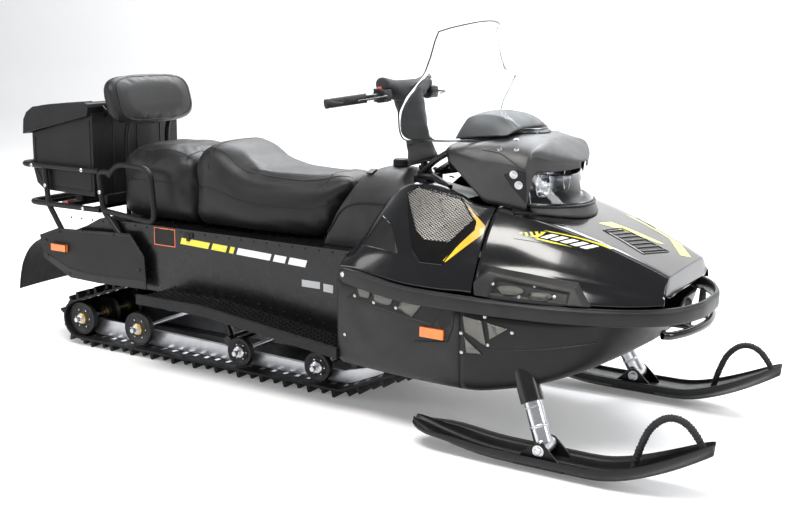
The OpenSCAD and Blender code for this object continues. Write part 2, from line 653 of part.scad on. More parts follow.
// Low edge: on the housing in the middle, free at the wings
screen_rest = 2.2;
function screen_low_z(y, u) = let(z = screen_mid_z - 46 * u * u)
    abs(y) < 280 ? max(z - 40, pod_z(screen_x(z, u, screen_rows[0][2]), y) + screen_rest + 20 * u * u) : z;
module windshield() {
    top = screen_top_z - screen_arch;
    // the inner columns stand over the corners of the housing's arch
    inner = [for (k = [8 : -1 : 4]) pod_arch[k][0] * 290 / screen_rows[0][1]];
    shares = concat(inner, [0.86, 1]);
    color([0.8, 0.85, 0.9, 0.35]) sheet([for (r = screen_rows) [for (k = [-6 : 6])
        let(u = sign(k) * shares[abs(k)], z = mix(top, screen_base_z, r[0]) + screen_arch * (1 - u * u) * clamp01(1 - 2 * r[0]),
            low = screen_low_z(screen_rows[0][1] * u, u), zz = max(z, low + 16 * (1 - r[0])))
        [screen_x(zz, u, r[2]), r[1] * u, zz]]], -screen_t);
}

// Fabric curtain that closes the housing's rear
module dash_cover() {
    curtain_t = 6;
    color([0.1, 0.1, 0.1]) translate([pod_rear_x - curtain_t - seat_gap, 0, 0]) rotate([90, 0, 90]) linear_extrude(curtain_t)
        polygon(concat([for (p = pod_row(pod_at[0])) [p[1] * 0.985, p[2] - 2]], [[236, 925], [-236, 925]]));
}

// ---------------------------------------------------------------- side panels and console

// The panel beside the engine bay: from the console down to the strip
function panel_low_y(x) = hull_y(x) - 7;
function panel_low_z(x) = rim_z(x) + strip_h + edge_gap;
function panel_row(x) = [
    [x, panel_top_y(x), panel_top_z(x)],
    [x, mix(panel_top_y(x), panel_low_y(x), 0.3), mix(panel_top_z(x), panel_low_z(x), 0.2)],
    [x, mix(panel_top_y(x), panel_low_y(x), 0.6), mix(panel_top_z(x), panel_low_z(x), 0.45)],
    [x, mix(panel_top_y(x), panel_low_y(x), 0.86), mix(panel_top_z(x), panel_low_z(x), 0.72)],
    [x, panel_low_y(x), panel_low_z(x)]];
function panel_top_y(x) = lookup(x, [[220, 250], [400, 250], [560, 262], [713, 292]]);
function panel_top_z(x) = lookup(x, [[220, 640], [300, 800], [400, 880], [520, 890], [713, 838]]);
module side_panel() {
    xs = [222, 260, 300, 350, 400, 450, 500, 560, 600, 650, hood_rear_x - seam];
    color([0.02, 0.02, 0.02]) sheet([for (x = xs) panel_row(x)], -panel_t);
}
module side_panel_left() { side_panel(); }
module side_panel_right() { mirror([0, 1, 0]) side_panel(); }

// Tank cover: the side view cut by the crowned front view
console_half = 205;
console_low_z = tunnel_top_z + seat_gap;
console_side = [[0, console_low_z], [112, 838], [134, 880], [174, 902], [286, 902],
    [312, 846], [520, 800], [520, console_low_z]];
console_crown = [[console_half, 590], [console_half, 790], [150, 852], [90, 886], [44, 908], [-44, 908], [-90, 886],
    [-150, 852], [-console_half, 790], [-console_half, 590]];
module console_solid(in) {
    intersection() {
        rotate([90, 0, 0]) linear_extrude(2 * console_half + 2, center = true) offset_in(console_side, in);
        rotate([90, 0, 90]) linear_extrude(900, center = false) offset_in(console_crown, in);
    }
}
// Outline drawn in by a distance, towards its middle
module offset_in(outline, in) {
    mid = [for (a = [0, 1]) (max([for (p = outline) p[a]]) + min([for (p = outline) p[a]])) / 2];
    half = [for (a = [0, 1]) (max([for (p = outline) p[a]]) - min([for (p = outline) p[a]])) / 2];
    polygon([for (p = outline) [for (a = [0, 1]) mid[a] + (p[a] - mid[a]) * (half[a] - in) / half[a]]]);
}
module console() {
    color([0.12, 0.12, 0.13]) difference() {
        console_solid(0);
        translate([0, 0, -panel_t - 3]) console_solid(panel_t);
        column_frame() translate([0, 0, -post_len - 40]) cylinder(h = post_len, r = frame_tube_r + 4);
    }
}

cap_r = 34;
module fuel_cap() {
    color([0.08, 0.08, 0.08]) translate([226, 0, 902 + seat_gap]) cylinder(h = 28, r = cap_r);
}

// ---------------------------------------------------------------- seats

// Soft body through sections: [x, half width at the base, base z, top z, crown drop]
function seat_ring(s) = [for (a = [0 : 15 : 345])
    let(c = cos(a), d = sin(a), w = s[1], low = s[2], top = s[3])
    [s[0], w * sign(c) * pow(abs(c), 0.55), (low + top) / 2 + (top - low) / 2 * sign(d) * pow(abs(d), 0.5)]];
seat_base_z = tunnel_top_z + seat_gap;
module driver_seat() {
    hump = 966 - seat_z;
    sections = [
        [-636, seat_w / 2 - 20, seat_base_z, seat_z + 0.55 * hump], [-560, seat_w / 2, seat_base_z, seat_z + hump],
        [-500, seat_w / 2, seat_base_z, seat_z + 0.85 * hump], [-400, seat_w / 2, seat_base_z, seat_z + 0.2 * hump],
        [-280, seat_w / 2 - 10, seat_base_z, seat_z], [-120, seat_w / 2 - 40, seat_base_z, seat_z],
        [-60, seat_w / 2 - 50, seat_base_z, seat_z], [-16, seat_w / 2 - 62, seat_base_z + 30, seat_z + 2],
        [28, seat_w / 2 - 80, seat_base_z + 120, seat_z + 3], [76, seat_w / 2 - 100, seat_base_z + 215, seat_z]];
    color([0.06, 0.06, 0.06]) body_of([for (s = sections) seat_ring(s)]);
}

module passenger_seat() {
    sections = [
        [-1040, seat_w / 2 - 30, seat_base_z, 890], [-1000, seat_w / 2 - 5, seat_base_z, 925],
        [-900, seat_w / 2, seat_base_z, 930], [-800, seat_w / 2, seat_base_z, 940],
        [-700, seat_w / 2, seat_base_z, 925], [-648, seat_w / 2 - 20, seat_base_z, 905]];
    color([0.06, 0.06, 0.06]) body_of([for (s = sections) seat_ring(s)]);
}

// Backrest: a rounded pad that leans back and wraps round the passenger
back_w = 515;
back_h = 246;
back_t = 102;
back_lean = 15.5;
module back_post(grow = 0) {
    both() tube(rounded([[-1074, 130, tunnel_top_z + seat_gap], [-1074, 130, 985], [-1024, 130, 1060]], 60), 11 + grow, [0, 1, 0]);
}
module backrest() {
    color([0.06, 0.06, 0.06]) difference() {
        translate([-1018, 0, 985]) rotate([0, -back_lean, 0]) body_of([for (a = [0 : 8])
            let(c = -cos(180 * a / 8), k = pow(sin(max(8, min(172, 180 * a / 8))), 0.35))
            [for (b = [0 : 20 : 340]) [
                (cos(b) > 0 ? -18 * (1 - c * c) : 0) + back_t / 2 * k * sign(cos(b)) * pow(abs(cos(b)), 0.7),
                c * back_w / 2,
                back_h / 2 * (1 + k * sign(sin(b)) * pow(abs(sin(b)), 0.7))]]]);
        back_post(seat_gap);
    }
}

// ---------------------------------------------------------------- rack, box and lid

rack_y = box_w / 2 + rack_r + 6;
rack_low_z = 640;
rack_top_z = 806;
module rear_rack() {
    foot = [rack_y - 1, tunnel_half + seat_gap];
    color([0.04, 0.04, 0.04]) {
        tube(rounded([[-1086, rack_y, rack_top_z], [-1566, rack_y, rack_top_z], [-1566, -rack_y, rack_top_z],
            [-1086, -rack_y, rack_top_z]], 70), rack_r);
        tube(rounded([[-1086, rack_y, rack_low_z], [-1524, rack_y, rack_low_z], [-1524, -rack_y, rack_low_z],
            [-1086, -rack_y, rack_low_z]], 70), rack_r);
        both() {
            // front post, from the upper loop down to the tunnel's side
            tube(rounded([[-1020, rack_y, rack_top_z], [-1090, rack_y, rack_top_z], [-1070, rack_y, rack_low_z],
                [-905, rack_y, 470]], 30), rack_r, [0, 1, 0]);
            tube([[-1410, rack_y, rack_top_z], [-1396, rack_y, rack_low_z], [-1290, rack_y, 485]], rack_r, [0, 1, 0]);
            // loop beside the passenger
            tube(rounded([[-1060, rack_y, rack_low_z], [-780, rack_y, 612], [-800, rack_y, 836], [-990, rack_y, 846],
                [-1030, rack_y, 790]], 50), rack_r, [0, 1, 0]);
            for (at = [[-905, 470], [-1290, 485]]) translate([at[0], foot[1], at[1]]) rotate([-90, 0, 0])
                cylinder(h = foot[0] - foot[1], r = rack_r + 2);
        }
        for (x = [-1440, -1290, -1140]) rod([x, -rack_y, rack_low_z], [x, rack_y, rack_low_z], 9);
        back_post();
    }
}

box_side = [[box_front_x, box_low_z], [box_rear_x + 60, box_low_z + 8], [box_rear_x + 18, box_low_z + 36],
    [box_rear_x, box_low_z + 96], [box_rear_x, 946], [box_front_x, 1048]];
module cargo_box() {
    t = box_t;
    color([0.07, 0.07, 0.07]) rotate([90, 0, 0]) difference() {
        linear_extrude(box_w, center = true) polygon(box_side);
        linear_extrude(box_w - 2 * t, center = true) polygon([box_side[0] + [-t, t], box_side[1] + [0, t],
            box_side[2] + [t, t / 2], box_side[3] + [t, 0], [box_rear_x + t, 1100], [box_front_x - t, 1100]]);
    }
    // feet on the rack's cross tubes
    color([0.07, 0.07, 0.07]) for (x = [-1290, -1140]) translate([x - 20, -box_w / 2 + 60, rack_low_z + 9 + seat_gap])
        cube([40, box_w - 120, box_low_z + 5 - rack_low_z - 9 - seat_gap]);
    // knuckles the lid turns in
    color([0.07, 0.07, 0.07]) both() translate([0, knuckle_y + knuckle_w / 2, 0]) rotate([90, 0, 0]) linear_extrude(knuckle_w)
        difference() {
            union() {
                translate([lid_hinge_x, lid_hinge_z]) circle(r = 8);
                translate([box_front_x - 3, lid_hinge_z - 22]) square([lid_hinge_x - box_front_x + 3, 18]);
            }
            translate([lid_hinge_x, lid_hinge_z]) circle(r = lid_pin_r + fit);
        }
}

lid_over = 20;         // how far the lid stands out past the box's sides
knuckle_y = 170;
knuckle_w = 40;
lid_pin_r = 4;
module cargo_lid() {
    w = box_w + 2 * lid_over;
    t = box_t;
    arm_t = 8;
    color([0.07, 0.07, 0.07]) {
        difference() {
            rotate([90, 0, 0]) linear_extrude(w, center = true) polygon([[box_rear_x - 36, 938], [box_rear_x - 30, 1006],
                [box_rear_x + 30, 1062], [lid_hinge_x - 40, 1094], [lid_hinge_x - 16, 1074], [lid_hinge_x - 24, 1036]]);
            rotate([90, 0, 0]) linear_extrude(w - 2 * t, center = true) polygon([[box_rear_x - 36 + t, 900],
                [box_rear_x - 30 + t, 1003], [box_rear_x + 32, 1062 - t], [lid_hinge_x - 42, 1094 - t],
                [lid_hinge_x - 16 - t, 1073 - t], [lid_hinge_x - 24 - t, 900]]);
            translate([lid_hinge_x - 60, -box_w / 2 - 8, 980]) cube([80, box_w + 16, 88]);
        }
        both() {
            for (y = [knuckle_y - knuckle_w / 2 - 6, knuckle_y + knuckle_w / 2 + 6 + arm_t]) translate([0, y, 0]) rotate([90, 0, 0])
                linear_extrude(arm_t) {
                    translate([lid_hinge_x, lid_hinge_z]) circle(r = 7);
                    polygon([[lid_hinge_x - 6, lid_hinge_z], [lid_hinge_x + 7, lid_hinge_z], [lid_hinge_x - 16, 1076],
                        [lid_hinge_x - 30, 1078]]);
                }
            rod([lid_hinge_x, knuckle_y - knuckle_w / 2 - 10, lid_hinge_z],
                [lid_hinge_x, knuckle_y + knuckle_w / 2 + 10, lid_hinge_z], lid_pin_r);
        }
    }
}

// ---------------------------------------------------------------- steering

column_x = 245;
// Frame with +Z along the steering column, its origin at the handlebar's middle
module column_frame() {
    translate([column_x, 0, bar_z]) rotate([0, -column_tilt, 0]) children();
}
post_len = 560;
post_r = 14;
frame_tube_r = 24;
bar_bend = [column_x, 230, bar_z - 6];
grip_dir = unit([-115, 150, -24]);
grip_len = 150;
bar_end = bar_bend + grip_dir * (grip_len + 40);
module handlebar() {
    color([0.1, 0.1, 0.1]) {
        both() {
            rod([column_x, 0, bar_z], bar_bend, bar_r);
            translate(bar_bend) sphere(r = bar_r + 1);
            rod(bar_bend, bar_end, bar_r);
        }
        column_frame() {
            translate([0, 0, -post_len]) cylinder(h = post_len + 10, r = post_r);
            translate([-24, -45, -26]) cube([48, 90, 38]);
        }
    }
}

module grips() {
    color([0.12, 0.12, 0.12]) both() difference() {
        rod(bar_end - grip_dir * grip_len, bar_end + grip_dir * 8, grip_r);
        rod(bar_bend, bar_end + grip_dir * 0.3, bar_r + 0.2);
    }
}

module bar_controls() {
    color([0.08, 0.08, 0.08]) both() difference() {
        rod([column_x, 152, bar_z - 4], [column_x, 212, bar_z - 5.6], 27);
        rod([column_x, 0, bar_z], bar_bend, bar_r + 0.3);
    }
}

// Padded fabric cover round the handlebar's middle and the top of the column
module column_cover() {
    color([0.12, 0.12, 0.12]) column_frame() difference() {
        union() {
            translate([0, 0, -250]) cylinder(h = 280, r1 = 46, r2 = 62);
            translate([0, 0, 8]) rotate([90, 0, 0]) cylinder(h = 280, r = 42, center = true);
        }
        translate([0, 0, -260]) cylinder(h = 240, r = post_r + 0.4);
        translate([-24.5, -45.5, -26.5]) cube([49, 91, 39]);
        rotate([90, 0, 0]) cylinder(h = 400, r = bar_r + 6, center = true);
        cylinder(h = 14, r = post_r + 0.4);
    }
}

// Column tube on its foot, with the tubes from its head to the pod and to the side panels
module steering_frame() {
    head = [342, 62, 878];
    color([0.05, 0.05, 0.05]) {
        difference() {
            union() {
                column_frame() translate([0, 0, -post_len - 20]) cylinder(h = 300, r = frame_tube_r);
                translate([378, -70, tunnel_top_z + seat_gap]) cube([80, 140, 50]);
                translate([318, -66, 850]) cube([56, 132, 30]);
            }
            column_frame() translate([0, 0, -post_len - 10]) cylinder(h = 400, r = post_r + fit);
        }
        both() {
            tube(rounded([head, [440, 128, 950], [512, 150, 990]], 40), 12);
            tube(rounded([head, [470, 190, 898], [560, 232, 872]], 40), 12);
        }
    }
}

// ---------------------------------------------------------------- legs and skis

leg_dir = unit([-tan(caster), -tan(camber), 1]);
// Frame of the left leg: +Z runs up the leg from the ski bolt
module leg_frame() {
    translate([ski_x, ski_y, ski_bolt_z])
        rotate([0, acos(leg_dir[2]), atan2(leg_dir[1], leg_dir[0])]) children();
}

strut_low = 150;
strut_len = 475;
module strut_tubes() {
    color([0.05, 0.05, 0.05]) both() leg_frame() translate([0, 0, strut_low]) difference() {
        cylinder(h = strut_len, r = strut_r);
        translate([0, 0, -1]) cylinder(h = strut_len - 20, r = leg_r + fit);
    }
}

foot_w = 84;
foot_r = 26;
module ski_leg() {
    color([0.75, 0.76, 0.78]) difference() {
        union() {
            leg_frame() translate([0, 0, 10]) cylinder(h = strut_low + 180, r = leg_r);
            translate([ski_x, ski_y, ski_bolt_z]) rotate([90, 0, 0]) cylinder(h = foot_w, r = foot_r, center = true);
        }
        translate([ski_x, ski_y, ski_bolt_z]) rotate([90, 0, 0]) cylinder(h = foot_w + 40, r = ski_bolt_r + fit, center = true);
    }
}
module ski_leg_left() { ski_leg(); }
module ski_leg_right() { mirror([0, 1, 0]) ski_leg(); }

// Ski: height of its keel along x, half width in plan, and the section across it
ski_flat_rear = 900;
ski_flat_front = 1230;
function sole_z(x) = x < ski_flat_rear ? 62 * pow((ski_flat_rear - x) / (ski_flat_rear - ski_tail_x), 1.8)
    : x > ski_flat_front ? 165 * pow((x - ski_flat_front) / (ski_tip_x - ski_flat_front), 1.6) : 0;
function ski_half(x) = ski_w / 2 * pow(max(0.05, 1 - pow(clamp01((x - 1330) / (ski_tip_x - 1326)), 2)), 0.5)
    * pow(max(0.12, 1 - pow(clamp01((720 - x) / (724 - ski_tail_x)), 2.4)), 0.5);
ski_rim = 62;          // height of the side walls over the keel
function ski_ring(x) =
    let(h = ski_half(x), z = sole_z(x), k = h * 2 / ski_w, rim = mix(30, ski_rim, smooth((x - ski_tail_x) / 200)) * mix(0.6, 1, k),
        right = [[h, rim], [h - 3 * k, rim - 16 * k], [h * 0.66, 24], [12 * k + 2, 8], [7 * k + 1, 0]],
        inner = [[h - 9 * k, rim], [h - 13 * k, rim - 14 * k], [h * 0.55, 24 + ski_t * 0.8], [0, 10 + ski_t]])
    concat([for (p = right) [x, -p[0], z + p[1]]], [for (i = [4 : -1 : 0]) [x, right[i][0], z + right[i][1]]],
        [for (p = inner) [x, p[0], z + p[1]]], [for (i = [2 : -1 : 0]) [x, -inner[i][0], z + inner[i][1]]]);
module ski() {
    xs = [ski_tail_x, 580, 594, 620, 660, 720, 800, 900, 1062, 1230, 1290, 1350, 1410, 1470, 1520, 1556, 1584, 1602, ski_tip_x];
    ear_y = foot_w / 2 + 2;
    color([0.07, 0.07, 0.07]) translate([0, ski_y, 0]) {
        body_of([for (x = xs) ski_ring(x)]);
        both() translate([ski_x, ear_y, 0]) rotate([-90, 0, 0]) mirror([0, 1, 0]) linear_extrude(10)
            polygon([[-90, 18], [90, 18], [60, 62], [26, ski_bolt_z + 20], [-26, ski_bolt_z + 20], [-60, 62]]);
        translate([ski_x, 0, ski_bolt_z]) rotate([90, 0, 0]) cylinder(h = foot_w + 30, r = ski_bolt_r, center = true);
        tube(rounded([[1364, 0, 40], [1386, 0, 150], [1452, 0, 262], [1530, 0, 250], [1590, 0, 166]], 40), 13, [0, 1, 0]);
    }
}
module ski_left() { ski(); }
module ski_right() { mirror([0, 1, 0]) ski(); }

// ---------------------------------------------------------------- assembly

tunnel();
running_boards();
rear_skirts();
snow_flap();
side_covers();
belly_pan();
bumper_strip();
front_bumper();
side_panel_right();
side_panel_left();
engine();
console();
fuel_cap();
steering_frame();
strut_tubes();
track();
slide_rails();
drive_axle();
idler_wheels();
rail_wheels();
skid_arms();
skid_shocks();
driver_seat();
passenger_seat();
backrest();
rear_rack();
cargo_box();
tow_hitch();
tail_light();
side_reflectors();
hood();
hood_scoops();
headlight_pod();
headlight_lens();
windshield();
dash_cover();
handlebar();
grips();
bar_controls();
column_cover();
ski_leg_right();
ski_leg_left();
ski_right();
ski_left();
cargo_lid();
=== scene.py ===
"""Utility snowmobile: detailed pieces, materials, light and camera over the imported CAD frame."""
import math

import bmesh
import bpy
from mathutils import Matrix, Vector
from mathutils.bvhtree import BVHTree


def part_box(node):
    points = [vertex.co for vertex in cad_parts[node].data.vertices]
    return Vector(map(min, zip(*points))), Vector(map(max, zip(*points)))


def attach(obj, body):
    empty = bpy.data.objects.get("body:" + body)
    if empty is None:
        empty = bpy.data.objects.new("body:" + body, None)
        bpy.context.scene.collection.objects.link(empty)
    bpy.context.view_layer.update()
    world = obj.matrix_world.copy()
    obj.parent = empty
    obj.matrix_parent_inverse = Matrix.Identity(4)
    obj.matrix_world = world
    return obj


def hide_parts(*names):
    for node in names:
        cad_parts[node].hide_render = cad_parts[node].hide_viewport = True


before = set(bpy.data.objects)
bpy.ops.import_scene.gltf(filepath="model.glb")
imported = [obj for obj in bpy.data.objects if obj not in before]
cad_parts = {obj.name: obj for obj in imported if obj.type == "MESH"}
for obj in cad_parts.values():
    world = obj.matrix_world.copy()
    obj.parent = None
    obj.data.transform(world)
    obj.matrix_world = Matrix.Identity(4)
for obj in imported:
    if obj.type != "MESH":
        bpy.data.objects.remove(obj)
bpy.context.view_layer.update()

MM = 0.001
scene = bpy.context.scene


# ---------------------------------------------------------------- small maths

def mix(a, b, t):
    return a + (b - a) * t


def clamp(t, low=0.0, high=1.0):
    return max(low, min(high, t))


def smooth(t):
    t = clamp(t)
    return t * t * (3 - 2 * t)


def lookup(x, table):
    if x <= table[0][0]:
        return table[0][1]
    for (x0, y0), (x1, y1) in zip(table, table[1:]):
        if x <= x1:
            return mix(y0, y1, (x - x0) / (x1 - x0))
    return table[-1][1]


def soft_lookup(x, table):
    """Lookup with a rounded change of slope at each entry."""
    span = 26
    return sum(lookup(x + span * k / 3, table) for k in (-3, -2, -1, 0, 1, 2, 3)) / 7


def steps(a, b, n):
    return [mix(a, b, k / n) for k in range(n + 1)]


def V(*p):
    return Vector(p)


# ---------------------------------------------------------------- materials

def shader(name):
    mat = bpy.data.materials.new(name)
    mat.use_nodes = True
    return mat, mat.node_tree.nodes, mat.node_tree.links, mat.node_tree.nodes["Principled BSDF"]


def finish_of(name, colour, rough, metal=0.0, coat=0.0, coat_rough=0.05, spread=0.25, grain=None, depth=0.15,
              fine=900.0, rough_spread=0.12, sheen=0.0, dust=0.0, gloss=0.5):
    """Painted, moulded or metal surface: mottled colour, uneven roughness, and a grain in the bump."""
    mat, nodes, links, b = shader(name)
    place = nodes.new("ShaderNodeTexCoord")
    broad = nodes.new("ShaderNodeTexNoise")
    broad.inputs["Scale"].default_value = 9.0
    broad.inputs["Detail"].default_value = 5.0
    links.new(place.outputs["Object"], broad.inputs["Vector"])
    ramp = nodes.new("ShaderNodeValToRGB")
    ramp.color_ramp.elements[0].position = 0.3
    ramp.color_ramp.elements[1].position = 0.75
    ramp.color_ramp.elements[0].color = [c * (1 - spread) for c in colour] + [1]
    ramp.color_ramp.elements[1].color = [min(1, c * (1 + spread) + dust) for c in colour] + [1]
    links.new(broad.outputs["Fac"], ramp.inputs["Fac"])
    links.new(ramp.outputs["Color"], b.inputs["Base Color"])
    patchy = nodes.new("ShaderNodeTexNoise")
    patchy.inputs["Scale"].default_value = 34.0
    patchy.inputs["Detail"].default_value = 6.0
    links.new(place.outputs["Object"], patchy.inputs["Vector"])
    span = nodes.new("ShaderNodeMapRange")
    span.inputs["To Min"].default_value = max(0.02, rough - rough_spread)
    span.inputs["To Max"].default_value = min(1.0, rough + rough_spread)
    links.new(patchy.outputs["Fac"], span.inputs["Value"])
    links.new(span.outputs["Result"], b.inputs["Roughness"])
    bump = nodes.new("ShaderNodeBump")
    bump.inputs["Strength"].default_value = depth
    bump.inputs["Distance"].default_value = 0.001
    if grain == "pebble" or grain == "leather":
        cells = nodes.new("ShaderNodeTexVoronoi")
        cells.inputs["Scale"].default_value = fine
        cells.feature = "DISTANCE_TO_EDGE" if grain == "leather" else "F1"
        links.new(place.outputs["Object"], cells.inputs["Vector"])
        links.new(cells.outputs["Distance"], bump.inputs["Height"])
    else:
        fine_noise = nodes.new("ShaderNodeTexNoise")
        fine_noise.inputs["Scale"].default_value = fine
        fine_noise.inputs["Detail"].default_value = 3.0
        links.new(place.outputs["Object"], fine_noise.inputs["Vector"])
        links.new(fine_noise.outputs["Fac"], bump.inputs["Height"])
    if depth > 0:
        links.new(bump.outputs["Normal"], b.inputs["Normal"])
    b.inputs["Metallic"].default_value = metal
    b.inputs["Specular IOR Level"].default_value = gloss
    b.inputs["Coat Weight"].default_value = coat
    b.inputs["Coat Roughness"].default_value = coat_rough
    b.inputs["Sheen Weight"].default_value = sheen
    return mat


def woven(name, colour, pitch, rough=0.85, sheen=0.3):
    mat, nodes, links, b = shader(name)
    place = nodes.new("ShaderNodeTexCoord")
    threads = []
    for turn in (0.0, math.pi / 2):
        turned = nodes.new("ShaderNodeMapping")
        turned.inputs["Rotation"].default_value = (turn, turn, 0.3)
        wave = nodes.new("ShaderNodeTexWave")
        wave.inputs["Scale"].default_value = 1 / pitch / 20 * math.pi
        links.new(place.outputs["Object"], turned.inputs["Vector"])
        links.new(turned.outputs["Vector"], wave.inputs["Vector"])
        threads.append(wave)
    both = nodes.new("ShaderNodeMath")
    both.operation = "MULTIPLY"
    links.new(threads[0].outputs["Fac"], both.inputs[0])
    links.new(threads[1].outputs["Fac"], both.inputs[1])
    ramp = nodes.new("ShaderNodeValToRGB")
    ramp.color_ramp.elements[0].color = [c * 0.6 for c in colour] + [1]
    ramp.color_ramp.elements[1].color = [min(1, c * 1.35) for c in colour] + [1]
    links.new(both.outputs["Value"], ramp.inputs["Fac"])
    links.new(ramp.outputs["Color"], b.inputs["Base Color"])
    bump = nodes.new("ShaderNodeBump")
    bump.inputs["Strength"].default_value = 0.4
    bump.inputs["Distance"].default_value = 0.001
    links.new(both.outputs["Value"], bump.inputs["Height"])
    links.new(bump.outputs["Normal"], b.inputs["Normal"])
    b.inputs["Roughness"].default_value = rough
    b.inputs["Sheen Weight"].default_value = sheen
    return mat


def faded(name, low, high, from_x, to_x, rough=0.3):
    """Printed film whose colour runs from one tone to another along the machine."""
    mat, nodes, links, b = shader(name)
    place = nodes.new("ShaderNodeTexCoord")
    parts = nodes.new("ShaderNodeSeparateXYZ")
    span = nodes.new("ShaderNodeMapRange")
    span.inputs["From Min"].default_value = from_x * MM
    span.inputs["From Max"].default_value = to_x * MM
    ramp = nodes.new("ShaderNodeValToRGB")
    ramp.color_ramp.elements[0].color = list(low) + [1]
    ramp.color_ramp.elements[1].color = list(high) + [1]
    links.new(place.outputs["Object"], parts.inputs["Vector"])
    links.new(parts.outputs["X"], span.inputs["Value"])
    links.new(span.outputs["Result"], ramp.inputs["Fac"])
    links.new(ramp.outputs["Color"], b.inputs["Base Color"])
    b.inputs["Roughness"].default_value = rough
    b.inputs["Coat Weight"].default_value = 0.5
    return mat


def clear(name, tint, rough=0.03, ior=1.2, weight=1.0):
    mat, nodes, links, b = shader(name)
    b.inputs["Base Color"].default_value = list(tint) + [1]
    b.inputs["Transmission Weight"].default_value = weight
    b.inputs["IOR"].default_value = ior
    place = nodes.new("ShaderNodeTexCoord")
    smear = nodes.new("ShaderNodeTexNoise")
    smear.inputs["Scale"].default_value = 14.0
    span = nodes.new("ShaderNodeMapRange")
    span.inputs["To Min"].default_value = rough * 0.5
    span.inputs["To Max"].default_value = rough * 2
    links.new(place.outputs["Object"], smear.inputs["Vector"])
    links.new(smear.outputs["Fac"], span.inputs["Value"])
    links.new(span.outputs["Result"], b.inputs["Roughness"])
    return mat


GLOSS = finish_of("gloss_black_paint", (0.0025, 0.0025, 0.003), 0.16, coat=0.25, coat_rough=0.05, depth=0.02,
                  fine=260, rough_spread=0.05, gloss=0.42)
SATIN = finish_of("satin_black_plastic", (0.006, 0.006, 0.0063), 0.4, grain="pebble", depth=0.25, fine=700,
                  dust=0.002, gloss=0.3)
GREY = finish_of("grey_moulded_plastic", (0.016, 0.0155, 0.0155), 0.44, grain="pebble", depth=0.35, fine=620,
                 dust=0.004, gloss=0.32)
NOSE = finish_of("nose_plastic", (0.0055, 0.0055, 0.0055), 0.36, grain="pebble", depth=0.25, fine=620, dust=0.002,
                 gloss=0.3)
VISOR = finish_of("visor_plastic", (0.026, 0.026, 0.027), 0.42, grain="pebble", depth=0.3, fine=620, dust=0.004)
STRIP = finish_of("strip_rubber", (0.012, 0.012, 0.0122), 0.4, grain="pebble", depth=0.3, fine=500, dust=0.003,
                  gloss=0.35)
PAINT = finish_of("black_metal_paint", (0.004, 0.004, 0.0043), 0.3, coat=0.12, coat_rough=0.15, depth=0.08, fine=420,
                  gloss=0.4)
MATTE = finish_of("matte_black_metal", (0.0045, 0.0045, 0.0048), 0.46, depth=0.12, fine=520, dust=0.002, gloss=0.3)
RAIL = finish_of("rail_aluminium", (0.62, 0.63, 0.66), 0.34, metal=0.9, depth=0.12, fine=160, spread=0.12)
BRIGHT = finish_of("bright_steel", (0.62, 0.63, 0.65), 0.22, metal=1.0, depth=0.04, fine=300, spread=0.08,
                   rough_spread=0.08)
DULL = finish_of("dull_reflector", (0.30, 0.31, 0.34), 0.3, metal=0.8, depth=0.05, spread=0.3)
CHROME = finish_of("chrome", (0.86, 0.87, 0.89), 0.07, metal=1.0, depth=0.0, spread=0.04, rough_spread=0.03)
GOLD = finish_of("gold_zinc", (0.62, 0.42, 0.14), 0.32, metal=0.9, depth=0.05, spread=0.2)
IRON = finish_of("dark_iron", (0.02, 0.02, 0.021), 0.5, metal=0.4, depth=0.3, fine=240, dust=0.02)
TRACK = finish_of("track_rubber", (0.0055, 0.0055, 0.0058), 0.6, grain="pebble", depth=0.5, fine=330, dust=0.006,
                  gloss=0.3)
TYRE = finish_of("wheel_rubber", (0.006, 0.006, 0.0062), 0.46, depth=0.3, fine=420, dust=0.003, gloss=0.35)
GRIP = finish_of("grip_rubber", (0.018, 0.018, 0.019), 0.58, grain="pebble", depth=0.4, fine=420, dust=0.005, gloss=0.3)
HIDE = finish_of("seat_leatherette", (0.0075, 0.0075, 0.0078), 0.42, grain="leather", depth=0.5, fine=420, sheen=0.03,
                 rough_spread=0.09, gloss=0.34)
PIPING = finish_of("piping", (0.009, 0.009, 0.0095), 0.42, depth=0.3, fine=600, gloss=0.3)
COVER = woven("column_fabric", (0.022, 0.022, 0.024), 0.0012, sheen=0.12)
PLEATS = woven("dash_fabric", (0.008, 0.008, 0.0085), 0.0011, sheen=0.06)
# near-black, matte, barely reflective: painted shade standing in for the shadowed openings behind the vent meshes
SHADE_BACKING = finish_of("grille_painted_shade", (0.003, 0.003, 0.003), 0.7, depth=0.0, gloss=0.1)
MESH_WIRE = finish_of("mesh_wire", (0.55, 0.54, 0.50), 0.3, metal=0.85, depth=0.0, spread=0.15)
LIME = finish_of("lime_film", (0.74, 0.66, 0.03), 0.3, coat=0.6, depth=0.0, spread=0.07)
WHITE = finish_of("white_film", (0.78, 0.79, 0.80), 0.35, coat=0.4, depth=0.0, spread=0.04)
LABEL = finish_of("blank_label", (0.40, 0.41, 0.42), 0.4, depth=0.0, spread=0.08)
ORANGE = finish_of("orange_film", (0.70, 0.14, 0.03), 0.35, coat=0.3, depth=0.0, spread=0.1)
AMBER = finish_of("amber_lens", (0.92, 0.19, 0.01), 0.16, coat=1.0, depth=0.5, fine=210, spread=0.12)
RED = finish_of("red_lens", (0.45, 0.01, 0.01), 0.16, coat=1.0, depth=0.5, fine=210, spread=0.12)
PINK = finish_of("switch_red", (0.75, 0.05, 0.10), 0.35, depth=0.0)
SPRING = finish_of("spring_yellow", (0.55, 0.36, 0.03), 0.35, metal=0.3, coat=0.4, depth=0.05)
CHEVRON = faded("chevron_film", (0.90, 0.58, 0.02), (0.86, 0.28, 0.01), 650, 765)
SCREEN = clear("clear_screen", (0.93, 0.95, 0.955), 0.02, 1.12)
LENS = clear("clear_lens", (0.95, 0.96, 0.98), 0.02, 1.3)


# ---------------------------------------------------------------- mesh tools

